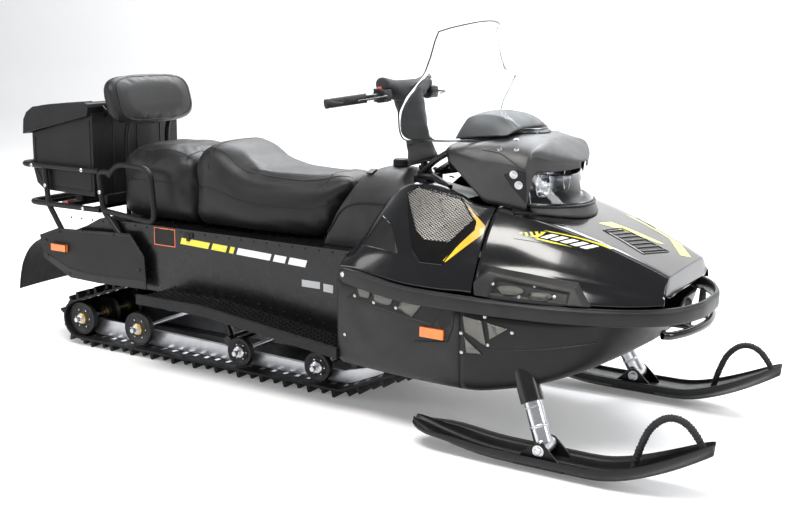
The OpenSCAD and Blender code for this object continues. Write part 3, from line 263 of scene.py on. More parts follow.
def finish_object(ob, mats, body, nodes, sharp=35):
    me = ob.data
    for m in mats:
        me.materials.append(m)
    for p in me.polygons:
        p.use_smooth = True
    if sharp:
        me.set_sharp_from_angle(angle=math.radians(sharp))
    scene.collection.objects.link(ob)
    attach(ob, body)
    if nodes:
        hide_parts(*nodes)
    return ob


class Build:
    """Collects simple shapes, in millimetres, into one mesh object."""

    def __init__(self):
        self.v, self.f, self.m = [], [], []

    def add(self, verts, faces, mat=0):
        k = len(self.v)
        self.v += [Vector(p) for p in verts]
        self.f += [[i + k for i in f] for f in faces]
        self.m += [mat] * len(faces)
        return self

    def box(self, centre, size, turn=None, mat=0):
        c, s = Vector(centre), [x / 2 for x in size]
        turn = turn or Matrix.Identity(3)
        pts = [c + turn @ V(x * s[0], y * s[1], z * s[2]) for x in (-1, 1) for y in (-1, 1) for z in (-1, 1)]
        return self.add(pts, [(0, 1, 3, 2), (4, 6, 7, 5), (0, 4, 5, 1), (2, 3, 7, 6), (0, 2, 6, 4), (1, 5, 7, 3)], mat)

    def lathe(self, profile, place, axis, n=40, mat=0):
        """Profile is [(radius, height along the axis)], turned round the axis at place."""
        axis = Vector(axis).normalized()
        side = axis.orthogonal().normalized()
        other = axis.cross(side)
        pts, faces = [], []
        for r, h in profile:
            for k in range(n):
                a = 2 * math.pi * k / n
                pts.append(Vector(place) + axis * h + (side * math.cos(a) + other * math.sin(a)) * max(r, 0.01))
        for i in range(len(profile) - 1):
            for k in range(n):
                q = (k + 1) % n
                faces.append((i * n + k, i * n + q, (i + 1) * n + q, (i + 1) * n + k))
        return self.add(pts, faces, mat)

    def rod(self, p, q, r, n=16, mat=0):
        d = Vector(q) - Vector(p)
        return self.lathe([(0, 0), (r, 0), (r, d.length), (0, d.length)], p, d, n, mat)

    def bolt(self, p, normal, r=7, mat=0, head=0.6):
        return self.lathe([(0, -3), (r * 1.45, -3), (r * 1.45, 1.2), (r, 1.6), (r, r * head), (r * 0.8, r * head + 1.2),
                           (r * 0.45, r * head + 1.2), (r * 0.4, r * head - 0.8), (0, r * head - 0.8)], p, normal, 18,
                           mat)

    def tube(self, path, r, n=14, mat=0, closed=False, squash=1.0):
        """Round tube along a path; r is a number or a function of the share of the path."""
        pts = [Vector(p) for p in path]
        last = len(pts) - 1
        normal = None
        k0 = len(self.v)
        total = 0
        for i, p in enumerate(pts):
            if closed:
                t = (pts[(i + 1) % (last + 1)] - pts[i - 1]).normalized()
            else:
                t = (pts[min(i + 1, last)] - pts[max(i - 1, 0)]).normalized()
            if normal is None:
                normal = t.orthogonal().normalized() if abs(t.z) > 0.9 else t.cross(V(0, 0, 1)).normalized()
            normal = (normal - t * normal.dot(t)).normalized()
            other = t.cross(normal)
            rr = r(i / last) if callable(r) else r
            for j in range(n):
                a = 2 * math.pi * j / n
                self.v.append(p + (normal * math.cos(a) + other * math.sin(a) * squash) * rr)
        rows = last + 1 if closed else last
        for i in range(rows):
            i2 = (i + 1) % (last + 1)
            for j in range(n):
                j2 = (j + 1) % n
                self.f.append([k0 + i * n + j, k0 + i * n + j2, k0 + i2 * n + j2, k0 + i2 * n + j])
                self.m.append(mat)
        if not closed:
            self.f += [[k0 + j for j in range(n - 1, -1, -1)], [k0 + last * n + j for j in range(n)]]
            self.m += [mat, mat]
        return self

    def slab(self, outline, y0, y1, mat=0):
        """Side view outline [(x, z)] between two y planes."""
        n = len(outline)
        pts = [V(x, y0, z) for x, z in outline] + [V(x, y1, z) for x, z in outline]
        faces = [list(range(n)), list(range(2 * n - 1, n - 1, -1))]
        faces += [[k, k + n, (k + 1) % n + n, (k + 1) % n] for k in range(n)]
        return self.add(pts, faces, mat)

    def object(self, name, mats, body, nodes=(), slot=None, bevel=0.0, levels=0, sharp=35, segments=2):
        me = bpy.data.meshes.new(name)
        me.from_pydata([p * MM for p in self.v], [], self.f)
        me.polygons.foreach_set("material_index", self.m)
        bm = bmesh.new()
        bm.from_mesh(me)
        bmesh.ops.recalc_face_normals(bm, faces=bm.faces)
        bm.to_mesh(me)
        bm.free()
        ob = bpy.data.objects.new(name, me)
        finish_object(ob, mats if isinstance(mats, (list, tuple)) else [mats], body, nodes, sharp)
        if bevel:
            mod = ob.modifiers.new("edges", "BEVEL")
            mod.width, mod.segments, mod.limit_method, mod.angle_limit = bevel * MM, segments, "ANGLE", math.radians(40)
            mod.harden_normals = True
        if levels:
            mod = ob.modifiers.new("rounding", "SUBSURF")
            mod.levels = mod.render_levels = levels
        return ob


def skin(name, rows, mat, body, wall=5.0, nodes=(), levels=2, crease_cols=None, crease_rows=None,
         closed=False,
         caps=False, bevel=0.0, core=None):
    """Curved panel over a grid of points, smoothed, with sharp lines kept at the creased columns and rows."""
    m, n = len(rows), len(rows[0])
    verts = [Vector(p) * MM for row in rows for p in row]
    faces = []
    for i in range(m - 1):
        for j in range(n if closed else n - 1):
            q = (j + 1) % n
            faces.append((i * n + j, i * n + q, (i + 1) * n + q, (i + 1) * n + j))
    if caps:
        faces += [list(range(n - 1, -1, -1)), [(m - 1) * n + j for j in range(n)]]
    if core:
        inner = Vector(core) * MM
        turned = 0
        for f in faces[:(m - 1) * (n if closed else n - 1)]:
            p = [verts[i] for i in f]
            turned += (p[2] - p[0]).cross(p[3] - p[1]).dot((p[0] + p[2]) / 2 - inner)
        if turned < 0:
            faces = [tuple(reversed(f)) for f in faces]
    me = bpy.data.meshes.new(name)
    me.from_pydata(verts, [], faces)
    if crease_cols or crease_rows:
        layer = me.attributes.new("crease_edge", "FLOAT", "EDGE")
        for e in me.edges:
            a, b = e.vertices
            if crease_cols and a % n == b % n and a % n in crease_cols:
                layer.data[e.index].value = crease_cols[a % n]
            if crease_rows and a // n == b // n and a // n in crease_rows:
                layer.data[e.index].value = crease_rows[a // n]
    ob = bpy.data.objects.new(name, me)
    finish_object(ob, [mat], body, nodes, sharp=0)
    if levels:
        mod = ob.modifiers.new("rounding", "SUBSURF")
        mod.levels = mod.render_levels = levels
        mod.boundary_smooth = "PRESERVE_CORNERS"
    if wall:
        mod = ob.modifiers.new("wall", "SOLIDIFY")
        mod.thickness, mod.offset = abs(wall) * MM, (-1 if wall > 0 else 1)
    if bevel:
        mod = ob.modifiers.new("edges", "BEVEL")
        mod.width, mod.segments, mod.limit_method, mod.angle_limit = bevel * MM, 2, "ANGLE", math.radians(50)
    return ob


def tree_of(ob):
    bpy.context.view_layer.update()
    return BVHTree.FromObject(ob, bpy.context.evaluated_depsgraph_get())


def land(tree, p, way, lift=0.5, reach=140):
    """Drops a point on a surface along way; returns the point and the normal, in millimetres."""
    way = Vector(way).normalized()
    start = (Vector(p) - way * reach) * MM
    hit, normal, _, _ = tree.ray_cast(start, way, 3 * reach * MM)
    if hit is None:
        hit, normal, _, _ = tree.find_nearest(Vector(p) * MM)
    if normal.dot(way) > 0:
        normal = -normal
    return hit / MM + normal * lift, normal


def patch(name, outline, tree, way, mat, body, lift=0.6, wall=0.0, cell=14, bevel=0.0):
    """Thin film or plate laid on a surface inside an outline."""
    bm = bmesh.new()
    bm.faces.new([bm.verts.new(Vector(p)) for p in outline])
    bmesh.ops.triangulate(bm, faces=bm.faces[:])
    for _ in range(7):
        long = [e for e in bm.edges if e.calc_length() > cell]
        if not long:
            break
        bmesh.ops.subdivide_edges(bm, edges=long, cuts=1)
        bmesh.ops.triangulate(bm, faces=bm.faces[:])
    for v in bm.verts:
        v.co = land(tree, v.co, way, lift)[0] * MM
    bm.normal_update()
    for f in bm.faces:
        if f.normal.dot(Vector(way)) > 0:
            f.normal_flip()
    me = bpy.data.meshes.new(name)
    bm.to_mesh(me)
    bm.free()
    ob = bpy.data.objects.new(name, me)
    finish_object(ob, [mat], body, (), sharp=0)
    if wall:
        mod = ob.modifiers.new("wall", "SOLIDIFY")
        mod.thickness, mod.offset = wall * MM, 1
    if bevel:
        mod = ob.modifiers.new("edges", "BEVEL")
        mod.width, mod.segments, mod.limit_method, mod.angle_limit = bevel * MM, 2, "ANGLE", math.radians(50)
    return ob


def grille(name, outline, tree, way, body, lift=0.8, pitch=8.0, wire=0.9, slant=0.62):
    """Wire mesh laid on a surface inside an outline seen from the side, over a near-black plate of painted shade that
    stands in for the shadowed opening behind the mesh.
    """
    patch(name + "_shade_plate", outline, tree, way, SHADE_BACKING, body, lift=lift)
    ring = [(Vector(p).x, Vector(p).z) for p in outline]
    y = Vector(outline[0]).y
    wires = Build()
    for direction in ((math.cos(slant), math.sin(slant)), (math.cos(slant), -math.sin(slant))):
        normal = (-direction[1], direction[0])
        spans = [x * normal[0] + z * normal[1] for x, z in ring]
        k = math.ceil(min(spans) / pitch)
        while k * pitch < max(spans):
            cuts = []
            for (x0, z0), (x1, z1) in zip(ring, ring[1:] + ring[:1]):
                d0, d1 = x0 * normal[0] + z0 * normal[1] - k * pitch, x1 * normal[0] + z1 * normal[1] - k * pitch
                if (d0 < 0) != (d1 < 0):
                    t = d0 / (d0 - d1)
                    cuts.append(mix(x0, x1, t) * direction[0] + mix(z0, z1, t) * direction[1])
            cuts.sort()
            for a, b in zip(cuts[::2], cuts[1::2]):
                n = max(2, int((b - a) / 16))
                pts = [V(normal[0] * k * pitch + direction[0] * c, y,
                         normal[1] * k * pitch + direction[1] * c) for c in steps(a, b, n)]
                if b - a > 3:
                    wires.tube([land(tree, q, way, lift + 0.7)[0] for q in pts], wire, 5)
            k += 1
    wires.object(name, MESH_WIRE, body, slot="rail_metal", sharp=0)


def outline_path(outline, tree, way, lift, pitch=12, closed=True):
    """Points along an outline, each dropped on the surface."""
    pts = []
    n = len(outline)
    for k in range(n if closed else n - 1):
        a, b = Vector(outline[k]), Vector(outline[(k + 1) % n])
        m = max(1, int((b - a).length / pitch))
        pts += [land(tree, mix(a, b, j / m), way, lift)[0] for j in range(m)]
    if not closed:
        pts.append(land(tree, outline[-1], way, lift)[0])
    return pts


def bend(points, n=8, closed=False):
    """Smooth curve through points."""
    pts = [Vector(p) for p in points]
    out = []
    count = len(pts)
    for i in range(count if closed else count - 1):
        a = pts[i - 1] if closed or i > 0 else pts[0] * 2 - pts[1]
        b, c = pts[i], pts[(i + 1) % count]
        d = pts[(i + 2) % count] if closed or i + 2 < count else c * 2 - b
        for k in range(n):
            t = k / n
            out.append(0.5 * ((2 * b) + (c - a) * t + (2 * a - 5 * b + 4 * c - d) * t * t + (3 * b - a - 3 * c + d) * t ** 3))
    if not closed:
        out.append(pts[-1])
    return out


def round_corners(points, r, n=6):
    pts = [Vector(p) for p in points]
    out = [pts[0]]
    for a, b, c in zip(pts, pts[1:], pts[2:]):
        p, q = b + (a - b).normalized() * r, b + (c - b).normalized() * r
        out += [p * (1 - t) ** 2 + b * 2 * t * (1 - t) + q * t * t for t in [k / n for k in range(n + 1)]]
    return out + [pts[-1]]


def flip(p):
    return V(p[0], -p[1], p[2])


def both_sides(points):
    """The outline on the right, and its mirror image on the left."""
    return (("right", [Vector(p) for p in points], -1), ("left", [flip(p) for p in reversed(points)], 1))


def repaint(node, mat):
    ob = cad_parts[node]
    ob.data.materials.clear()
    ob.data.materials.append(mat)


# ---------------------------------------------------------------- body surfaces, in millimetres as in the CAD

NOSE_X, SPLIT_X = 1447, 735


def hull_y(x):
    if x < 700:
        return 480 - 42 * ((700 - x) / 484) ** 2
    return 480 * (1 - min(1, (x - 700) / 747) ** 2.5) ** 0.4


def nose_at(a):
    return 700 + 747 * math.sin(math.radians(a)) ** 0.8


def keel_z(x):
    return 196 if x < 750 else 196 + 300 * ((x - 750) / 697) ** 1.6


def rim_z(x):
    return 508 + lookup(x, [[216, 30], [300, 26], [400, 12], [500, 0], [1150, 0], [NOSE_X, -5]])


HULL_PROFILE = [[1, 1], [0.997, 0.7], [0.99, 0.4], [0.975, 0.18], [0.945, 0.07], [0.89, 0.015], [0.6, 0]]


def hull_row(x, in_by=0.0):
    return [V(x, hull_y(x + 96 * (1 - p[1]) * smooth((x - 1000) / 300)) * p[0] - in_by,
              mix(keel_z(x), rim_z(x), p[1])) for p in HULL_PROFILE]


def centre_z(x):
    return soft_lookup(x, [[600, 850], [760, 846], [860, 826], [1000, 786], [1150, 736], [1300, 672], [1385, 630]])


def ridge_y(x):
    return soft_lookup(x, [[600, 300], [860, 300], [1000, 270], [1200, 235], [1385, 200]])


def ridge_z(x):
    return centre_z(x) - lookup(x, [[600, 20], [1000, 6], [1385, 2]])


def shoulder_y(x):
    return min(hull_y(x) - 12, soft_lookup(x, [[600, 425], [800, 425], [1000, 395], [1200, 330], [1385, 262]]))


def shoulder_z(x):
    return lookup(x, [[600, 690], [800, 668], [1000, 650], [1200, 612], [1385, 572]])


def low_y(x):
    return max(hull_y(x) - 8, shoulder_y(x) + 4)


def hood_side(x):
    cz, ry, rz, sy, sz, ly, lz = centre_z(x), ridge_y(x), ridge_z(x), shoulder_y(x), shoulder_z(x), low_y(x), rim_z(x) + 51
    return [V(x, 0, cz), V(x, ry * 0.5, mix(cz, rz, 0.5)), V(x, ry, rz), V(x, mix(ry, sy, 0.35), mix(rz, sz, 0.25)),
            V(x, mix(ry, sy, 0.75), mix(rz, sz, 0.62)), V(x, sy, sz), V(x, mix(sy, ly, 0.6), mix(sz, lz, 0.4)),
            V(x, ly, lz)]


def hood_row(x):
    s = hood_side(x)
    return [flip(p) for p in reversed(s[1:])] + s


def hood_z(x, y):
    return mix(centre_z(x), ridge_z(x), abs(y) / ridge_y(x))


HOOD_X = 778
FRONT_X = 1362
xs = [HOOD_X, 820, 860, 900, 950, 1000, 1050, 1100, 1150, 1200, 1250, 1290, 1325, 1350, FRONT_X]
rows = [hood_row(x) for x in xs]
for t in (0.25, 0.6, 1):
    rows.append([V(p.x + 8 * t, p.y, mix(p.z, max(570, p.z - 70), t * smooth((shoulder_y(FRONT_X) - abs(p.y)) / 50)))
                 for p in hood_row(FRONT_X)])
hood = skin("hood_shell", rows, GLOSS, "hood", wall=5, nodes=["hood"], core=(900, 0, 500),
            crease_cols={5: 0.7, 9: 0.7, 2: 0.75, 12: 0.75}, crease_rows={len(xs) - 1: 0.85})
HOOD_TREE = tree_of(hood)

# side panels, reaching forward to the hood's edge
def panel_row(x):
    ty = lookup(x, [[220, 250], [400, 250], [560, 262], [713, 292]])
    tz = soft_lookup(x, [[220, 640], [300, 800], [400, 880], [520, 890], [713, 838]])
    ly, lz = hull_y(x) - 7, rim_z(x) + 44.8
    return [V(x, mix(ty, ly, a), mix(tz, lz, b)) for a, b in ((0, 0), (0.3, 0.2), (0.6, 0.45), (0.86, 0.72), (1, 1))]


def spread(points, n):
    """Evenly spaced points along a line of points."""
    lengths = [0]
    for a, b in zip(points, points[1:]):
        lengths.append(lengths[-1] + (b - a).length)
    out = []
    for k in range(n):
        s = lengths[-1] * k / (n - 1)
        i = max(j for j in range(len(points) - 1) if lengths[j] <= s + 1e-6)
        out.append(mix(points[i], points[i + 1], clamp((s - lengths[i]) / (lengths[i + 1] - lengths[i]))))
    return out


PANEL_TREES = {}
for name, sign in (("right", -1), ("left", 1)):
    rows = []
    for x in (222, 240, 262, 285, 310, 340, 375, 410, 450, 500, 550, 600, 650, 690, 720, 745, 771):
        k = smooth((x - 640) / 90)
        a = spread(panel_row(min(x, 713)), 9)
        b = spread(hood_side(x)[2:], 9)
        rows.append([V(x, sign * mix(p.y, q.y, k), mix(p.z, q.z, k)) for p, q in zip(a, b)])
    ob = skin("side_panel_" + name, rows, GLOSS, "chassis", wall=4, nodes=["side_panel_" + name],
              core=(500, 0, 500))
    PANEL_TREES[name] = tree_of(ob)

for name, side, way in both_sides([(450, -276, 870), (640, -300, 846), (728, -362, 774), (644, -450, 642),
                                   (558, -448, 640),
                                   (511, -425, 678), (417, -298, 842)]):
    tree = PANEL_TREES[name]
    into = V(0, -way, -0.5)
    grille("panel_mesh_" + name, side, tree, into, "chassis", pitch=8.6, wire=1.15)
    Build().tube(outline_path(side, tree, into, 0.4), 3.2, 8, closed=True).object("panel_mesh_rim_" + name, GLOSS,
            "chassis", slot="gloss_black")
for name, side, way in both_sides([(342, -336, 763), (405, -381, 740), (460, -435, 658), (297, -404, 664)]):
    tree = PANEL_TREES[name]
    into = V(0, -way, -0.5)
    patch("panel_recess_" + name, side, tree, into, SATIN, "chassis", lift=0.5)
    Build().tube(outline_path(side, tree, into, 0.4), 2.4, 8, closed=True).object("panel_recess_rim_" + name, GLOSS,
            "chassis", slot="gloss_black")
for name, side, way in both_sides([(663, -309, 832), (764, -359, 771), (767, -380, 747), (656, -445, 650),
                                   (645, -442, 654),
                                   (732, -375, 755), (727, -353, 782)]):
    patch("panel_chevron_" + name, side, PANEL_TREES[name], V(0, -way, -0.5), CHEVRON, "chassis", lift=1.8)

# hood films: pointed stripe with hairlines, louvred vents
for name, side, way in both_sides([(869, -360, 750), (915, -320, 775), (1199, -214, 711), (1127, -287, 708)]):
    into = V(0, -way * 0.3, -1)

    def at(u, v):
        """Point of the film's frame: u runs forward, v down the hood's side."""
        top_edge, low_edge = (side[1], side[2]), (side[0], side[3])
        if way > 0:
            top_edge, low_edge = (side[2], side[1]), (side[3], side[0])
        return mix(mix(*top_edge, u), mix(*low_edge, u), v)

    def film(tag, corners, mat, lift=0.5):
        pts = [at(u, v) for u, v in corners]
        patch(tag + "_" + name, pts, HOOD_TREE, into, mat, "hood", lift=lift)

    film("hood_film_tail", [(-0.02, 0.62), (0.1, 0.30), (0.2, 0.14), (0.24, 0.5), (0.26, 0.82), (0.12, 0.8)], LIME)
    film("hood_film_top", [(0.14, 0.0), (0.5, 0.02), (0.99, 0.16), (0.97, 0.34), (0.6, 0.15), (0.24, 0.10)], LIME)
    film("hood_film_low", [(0.22, 0.86), (0.45, 0.92), (0.74, 0.98), (0.5, 1.06), (0.3, 0.98)], LIME)
    for k in range(5):
        u = 0.29 + 0.125 * k
        film(f"hood_film_bar_{k}", [(u, 0.26 + 0.03 * k), (u + 0.085, 0.27 + 0.03 * k), (u + 0.075, 0.78 + 0.02 * k),
                                    (u - 0.012, 0.77 + 0.02 * k)], WHITE, 0.6)
    black = Build()
    for i in range(5):
        for j in range(4):
            if (i + j) % 2 == 0:
                p, n = land(HOOD_TREE, at(0.03 + 0.034 * i, 0.34 + 0.12 * j), into, 0.9)
                black.box(p, (8, 8, 0.8), n.to_track_quat("Z", "X").to_matrix())
    for v0, v1 in ((-0.12, -0.1), (1.2, 1.22)):
        black.tube([land(HOOD_TREE, at(u, mix(v0, v1, u)), into, 0.5)[0] for u in steps(0.05, 0.9, 20)], 1.0, 6,
                   squash=0.4)
    black.object("hood_checks_" + name, GLOSS, "hood", slot="gloss_black")
for k, ring in enumerate(([(1054, -50, 767), (1072, 31, 761), (1254, 90, 690), (1237, 60, 699)],
                          [(1063, 214, 755), (1080, 222, 750), (1196, 205, 713), (1282, 195, 677), (1343, 116, 649),
                           (1318, 66, 663), (1240, 186, 696)])):
    patch(f"hood_flash_{k}", [V(*p) for p in ring], HOOD_TREE, V(0, 0, -1), LIME, "hood", lift=0.7)
louvre = Build()
vent = [V(1093, -103, 753), V(1117, 11, 746), V(1286, 29, 677), V(1247, -130, 693)]
patch("hood_vent_floor", vent, HOOD_TREE, V(0, 0, -1), SATIN, "hood", lift=0.4)
for k in range(7):
    t = 0.08 + 0.14 * k
    path = [land(HOOD_TREE, mix(mix(vent[0], vent[3], t), mix(vent[1], vent[2], t), u), V(0, 0, -1),
                 1.5)[0] for u in steps(0.06, 0.94, 10)]
    louvre.tube(path, 4.2, 8, squash=0.7)
louvre.tube(outline_path(vent, HOOD_TREE, V(0, 0, -1), 0.6), 3, 8, closed=True)
louvre.object("hood_vent_louvres", GLOSS, "hood", slot="gloss_black")

# scoops: a raised frame round a sunk floor that holds two oval mesh windows
for name, sign in (("right", -1), ("left", 1)):
    way = V(0, -sign, 0)
    rows = []
    cols, lines_up = 72, 26
    for i in range(cols + 1):
        x = mix(781, 1172, i / cols)
        top = lookup(x, [[753, 584], [823, 652], [960, 640], [1112, 622], [1176, 552]])
        low = rim_z(x) + 46
        row = []
        for j in range(lines_up + 1):
            z = mix(low, top, j / lines_up)
            edge = min((top - z) * 0.8, (x - 779) * 0.6 + (z - low) * 0.2, (1176 - x) * 0.62)
            rise = 0.6 + 19 * smooth(edge / 13)
            floor_in = min(top - 26 - z, (x - 838) * 0.8 - (z - low) * 0.2, (1104 - x) * 0.7, z - low - 2)
            rise -= 12 * smooth(floor_in / 7)
            p, n = land(HOOD_TREE, V(x, sign * 400, z), way, 0.0)
            row.append(V(p.x, p.y + sign * rise, p.z))
        rows.append(row)
    ob = skin("scoop_" + name, rows, GREY, "hood", wall=2.5, nodes=["hood_scoops"],
              core=(970, 0, 500), levels=0)
    tree = tree_of(ob)
    screws, dark = Build(), Build()
    for cx, cz, half, height in ((910, 588, 46, 15), (1012, 579, 38, 13)):
        ring = [V(cx + half * math.cos(a) + 5 * math.sin(a), sign * 400,
                  cz + height * math.sin(a) - 0.04 * half * math.cos(a))
                for a in [math.pi * 2 * k / 30 for k in range(30)]]
        grille(f"scoop_mesh_{name}_{cx}", ring, tree, way, "hood", lift=0.6, pitch=6.0, wire=0.75)
        dark.tube([land(tree, p, way, 0.8)[0] for p in ring], 2.0, 8, closed=True)
    for x, z in ((852, 603), (988, 606), (946, 572), (1056, 577)):
        p, n = land(tree, V(x, sign * 400, z), way, 0.3)
        screws.bolt(p, n, 4)
    dark.object("scoop_rims_" + name, SATIN, "hood", slot="satin_black")
    screws.object("scoop_screws_" + name, BRIGHT, "hood", slot="rail_metal")

# side covers and belly
COVER_TREES = {}
for name, sign in (("right", -1), ("left", 1)):
    rows = [[V(p.x, sign * p.y, p.z) for p in hull_row(x)] for x in (216, 230, 260, 300, 350, 400, 450, 500, 550, 600,
                                                                     650, 700, 734)]
    ob = skin("side_cover_" + name, rows, GREY, "chassis", wall=5, nodes=["side_covers"],
              core=(500, 0, 350), levels=1)
    COVER_TREES[name] = tree_of(ob)


# Flat patch inside a rim, not sunk into the surface: its darker colour is painted shade standing in for a recess.
def shaded_recess(name, outline, tree, way, body, mat=SATIN, rim=3.0, rim_mat=GREY):
    patch(name, outline, tree, way, mat, body, lift=0.6)
    Build().tube(outline_path(outline, tree, way, 0.2), rim, 8, closed=True).object(name + "_rim", rim_mat, body,
            slot="grey_plastic")


def oval(cx, cz, half, height, y, tilt=0.0, n=28):
    out = []
    for k in range(n):
        a = 2 * math.pi * k / n
        dx, dz = half * math.copysign(abs(math.cos(a)) ** 0.55, math.cos(a)), height * math.sin(a)
        out.append(V(cx + dx * math.cos(tilt) - dz * math.sin(tilt), y, cz + dx * math.sin(tilt) + dz * math.cos(tilt)))
    return out


xs = [SPLIT_X + 1, 780, 820] + [nose_at(a) for a in (14, 18, 22, 26, 30, 34, 38, 42, 46, 50, 54)]
rows = []
for x in xs:
    half = hull_row(x)
    rows.append(half + [flip(p) for p in reversed(half)])
last = rows[-1]
for t in (0.25, 0.5, 0.8):
    rows.append([V(p.x + 4 * t, p.y * (1 - 0.9 * t), mix(p.z, rim_z(p.x) - 4, 0.9 * t)) for p in last])
belly = skin("belly_pan_shell", rows, NOSE, "chassis", wall=5, nodes=["belly_pan"],
             core=(900, 0, 400), levels=1)
BELLY_TREE = tree_of(belly)

for name, sign in (("right", -1), ("left", 1)):
    way = V(0, -sign, 0)
    tree = COVER_TREES[name]
    y = sign * 465
    # darker satin on the grey cover: painted shade of the recess
    shaded_recess("cover_recess_shade_" + name, [V(264, y, 474), V(348, y, 548), V(684, y, 508), V(626, y, 432)], tree, way,
           "chassis", SATIN, 3.4)
    grille("cover_mesh_a_" + name, oval(340, 505, 28, 20, y, -0.05), tree, way, "chassis", lift=1.2, pitch=7.0)
    grille("cover_mesh_b_" + name, oval(424, 499, 42, 24, y, -0.1), tree, way, "chassis", lift=1.2, pitch=7.0)
    grille("cover_mesh_c_" + name, [V(514, y, 514), V(600, y, 508), V(548, y, 448), V(493, y, 472)], tree, way,
           "chassis", lift=1.2, pitch=7.0)
    # darker satin patch on the grey cover, not sunk: painted shade of the notch
    patch("cover_notch_shade_" + name, [V(640, y, 470), V(668, y, 500), V(712, y, 505), V(700, y, 440), V(664, y, 420)],
          tree, way, SATIN, "chassis", lift=0.9)
    rims = Build()
    for ring in (oval(340, 505, 30, 22, y, -0.05), oval(424, 499, 44, 26, y, -0.1),
                 [V(514, y, 516), V(602, y, 510), V(548, y, 446), V(491, y, 471)]):
        rims.tube(outline_path(ring, tree, way, 0.8), 2.6, 8, closed=True)
    rims.tube(outline_path([V(716, y, 500), V(708, y, 430), V(690, y, 380), V(560, y, 362)], tree, way, 0.3,
                           closed=False), 2.4, 8)
    rims.object("cover_rims_" + name, SATIN, "chassis", slot="satin_black")
    for tag, ring in (("a", [(744, 482), (817, 474), (837, 384), (755, 426)]),
                      ("b", [(836, 470), (914, 458), (846, 412)]),
                      ("c", [(752, 412), (822, 356), (762, 352)])):
        pts = [V(x, y, z) for x, z in ring]
        grille(f"belly_mesh_{tag}_{name}", pts, BELLY_TREE, way, "chassis", lift=0.9, pitch=7.0)
        Build().tube(outline_path(pts, BELLY_TREE, way, 0.4), 2.8, 8, closed=True).object(f"belly_rim_{tag}_{name}",
                SATIN, "chassis", slot="satin_black")
    screws = Build()
    for x, z in ((740, 500), (828, 488), (925, 446), (840, 392), (742, 420), (744, 352)):
        p, n = land(BELLY_TREE, V(x, y, z), way, 0.4)
        screws.bolt(p, n, 4)
    for x, z in ((300, 484), (382, 522), (386, 474), (480, 516), (482, 470), (620, 498), (250, 330)):
        p, n = land(tree, V(x, y, z), way, 0.4)
        screws.bolt(p, n, 4)
    screws.object("hull_screws_" + name, BRIGHT, "chassis", slot="rail_metal")
    crease = Build()
    path = [land(BELLY_TREE, V(x, sign * 480, mix(rim_z(x), keel_z(x), 0.44)), way, 0.2)[0] for x in steps(744, 1190,
            24)]
    crease.tube(path, 3.0, 8, squash=0.5)
    crease.object("belly_crease_" + name, NOSE, "chassis", slot="grey_plastic")

# strip round the hull, with its two ledges
side = [V(x, hull_y(x), rim_z(x)) for x in [220, 300, 400, 500, 600, 700, 780,
                                            850] + [nose_at(a) for a in range(20, 82, 4)]]
tip = [V(NOSE_X, 90, rim_z(NOSE_X)), V(NOSE_X + 1, 0, rim_z(NOSE_X)), V(NOSE_X, -90, rim_z(NOSE_X))]
path = side + tip + [flip(p) for p in reversed(side)]
section = [[-8, 7], [2.5, 0], [3, -13], [8, -15], [13, -11], [14, 2], [14, 31], [12.5, 35], [8, 36.5], [6.5, 43],
           [3, 44], [-8, 44]]
rows = []
for i, p in enumerate(path):
    t = path[min(i + 1, len(path) - 1)] - path[max(i - 1, 0)]
    out = V(-t.y, t.x, 0).normalized()
    rows.append([p + out * a + V(0, 0, b) for a, b in section])
skin("rub_strip", rows, STRIP, "chassis", wall=0, nodes=["bumper_strip"], levels=1, closed=True,
     caps=True,
     crease_cols={4: 0.3, 6: 0.6, 8: 0.8, 9: 0.5}, core=(500, 0, 525))
ends = Build()
for sign in (-1, 1):
    ends.bolt(V(252, sign * (hull_y(252) + 12), rim_z(252) + 22), V(0, sign, 0), 7)
ends.object("strip_bolts", BRIGHT, "chassis", slot="rail_metal")

# bumper tube with its two rods and hinge lugs
bar = Build()
bar.tube(bend([V(1368, -262, 456), V(1394, -228, 452), V(1430, -130, 452), V(1446, 0, 452), V(1430, 130, 452),
               V(1394, 228, 452),
               V(1368, 262, 456)], 8), 14, 20)
for sign in (-1, 1):
    bar.rod((1031, sign * 90, 452), (1434, sign * 90, 452), 9)
    bar.slab([(1384, 448), (1416, 448), (1410, 545), (1404, 555), (1396, 555), (1390, 545)], sign * 85, sign * 95)
    bar.bolt(V(1372, sign * 259, 456) + V(0, 0, 13), V(0, 0, 1), 6)
bar.object("bumper_bar", GLOSS, "chassis", ["front_bumper"], "black_metal", bevel=1.2)

# ---------------------------------------------------------------- lamp housing, lamp, windshield

POD = [[560, 270, 971, 1036], [600, 280, 938, 1049], [640, 288, 905, 1060], [700, 291, 850, 1070],
       [720, 292, None, 1072],
       [760, 291, None, 1072], [790, 290, None, 1072], [830, 286, None, 1066], [868, 280, None, 1056],
       [880, 266, 955, 1048],
       [900, 232, 950, 1034], [930, 170, 948, 1012], [955, 95, 950, 992], [972, 30, 955, 978]]
ARCH = [(0.93, 0), (0.94, 0.3), (0.97, 0.52), (1, 0.6), (0.96, 0.72), (0.86, 0.85), (0.6, 0.95), (0.3, 0.99), (0, 1)]


def pod_row(s):
    low = hood_z(s[0], 0.93 * s[1]) + 1.5 if s[2] is None else s[2]
    half = [V(s[0], s[1] * a, mix(low, s[3], b)) for a, b in ARCH]
    return [flip(p) for p in half[:-1]] + list(reversed(half))


pod = skin("lamp_housing", [pod_row(s) for s in POD], VISOR, "hood", wall=4, nodes=["headlight_pod"],
           core=(760, 0, 940), levels=2, crease_cols={3: 0.7, 13: 0.7, 1: 0.2, 15: 0.2}, crease_rows={8: 0.5})
POD_TREE = tree_of(pod)


def lens_at(v, u):
    b = 1 - u * u
    return V(mix(874, 852, v) + mix(126, 78, v) * b, u * 247, mix(838, 952, v) - mix(10, 22, v) * b)


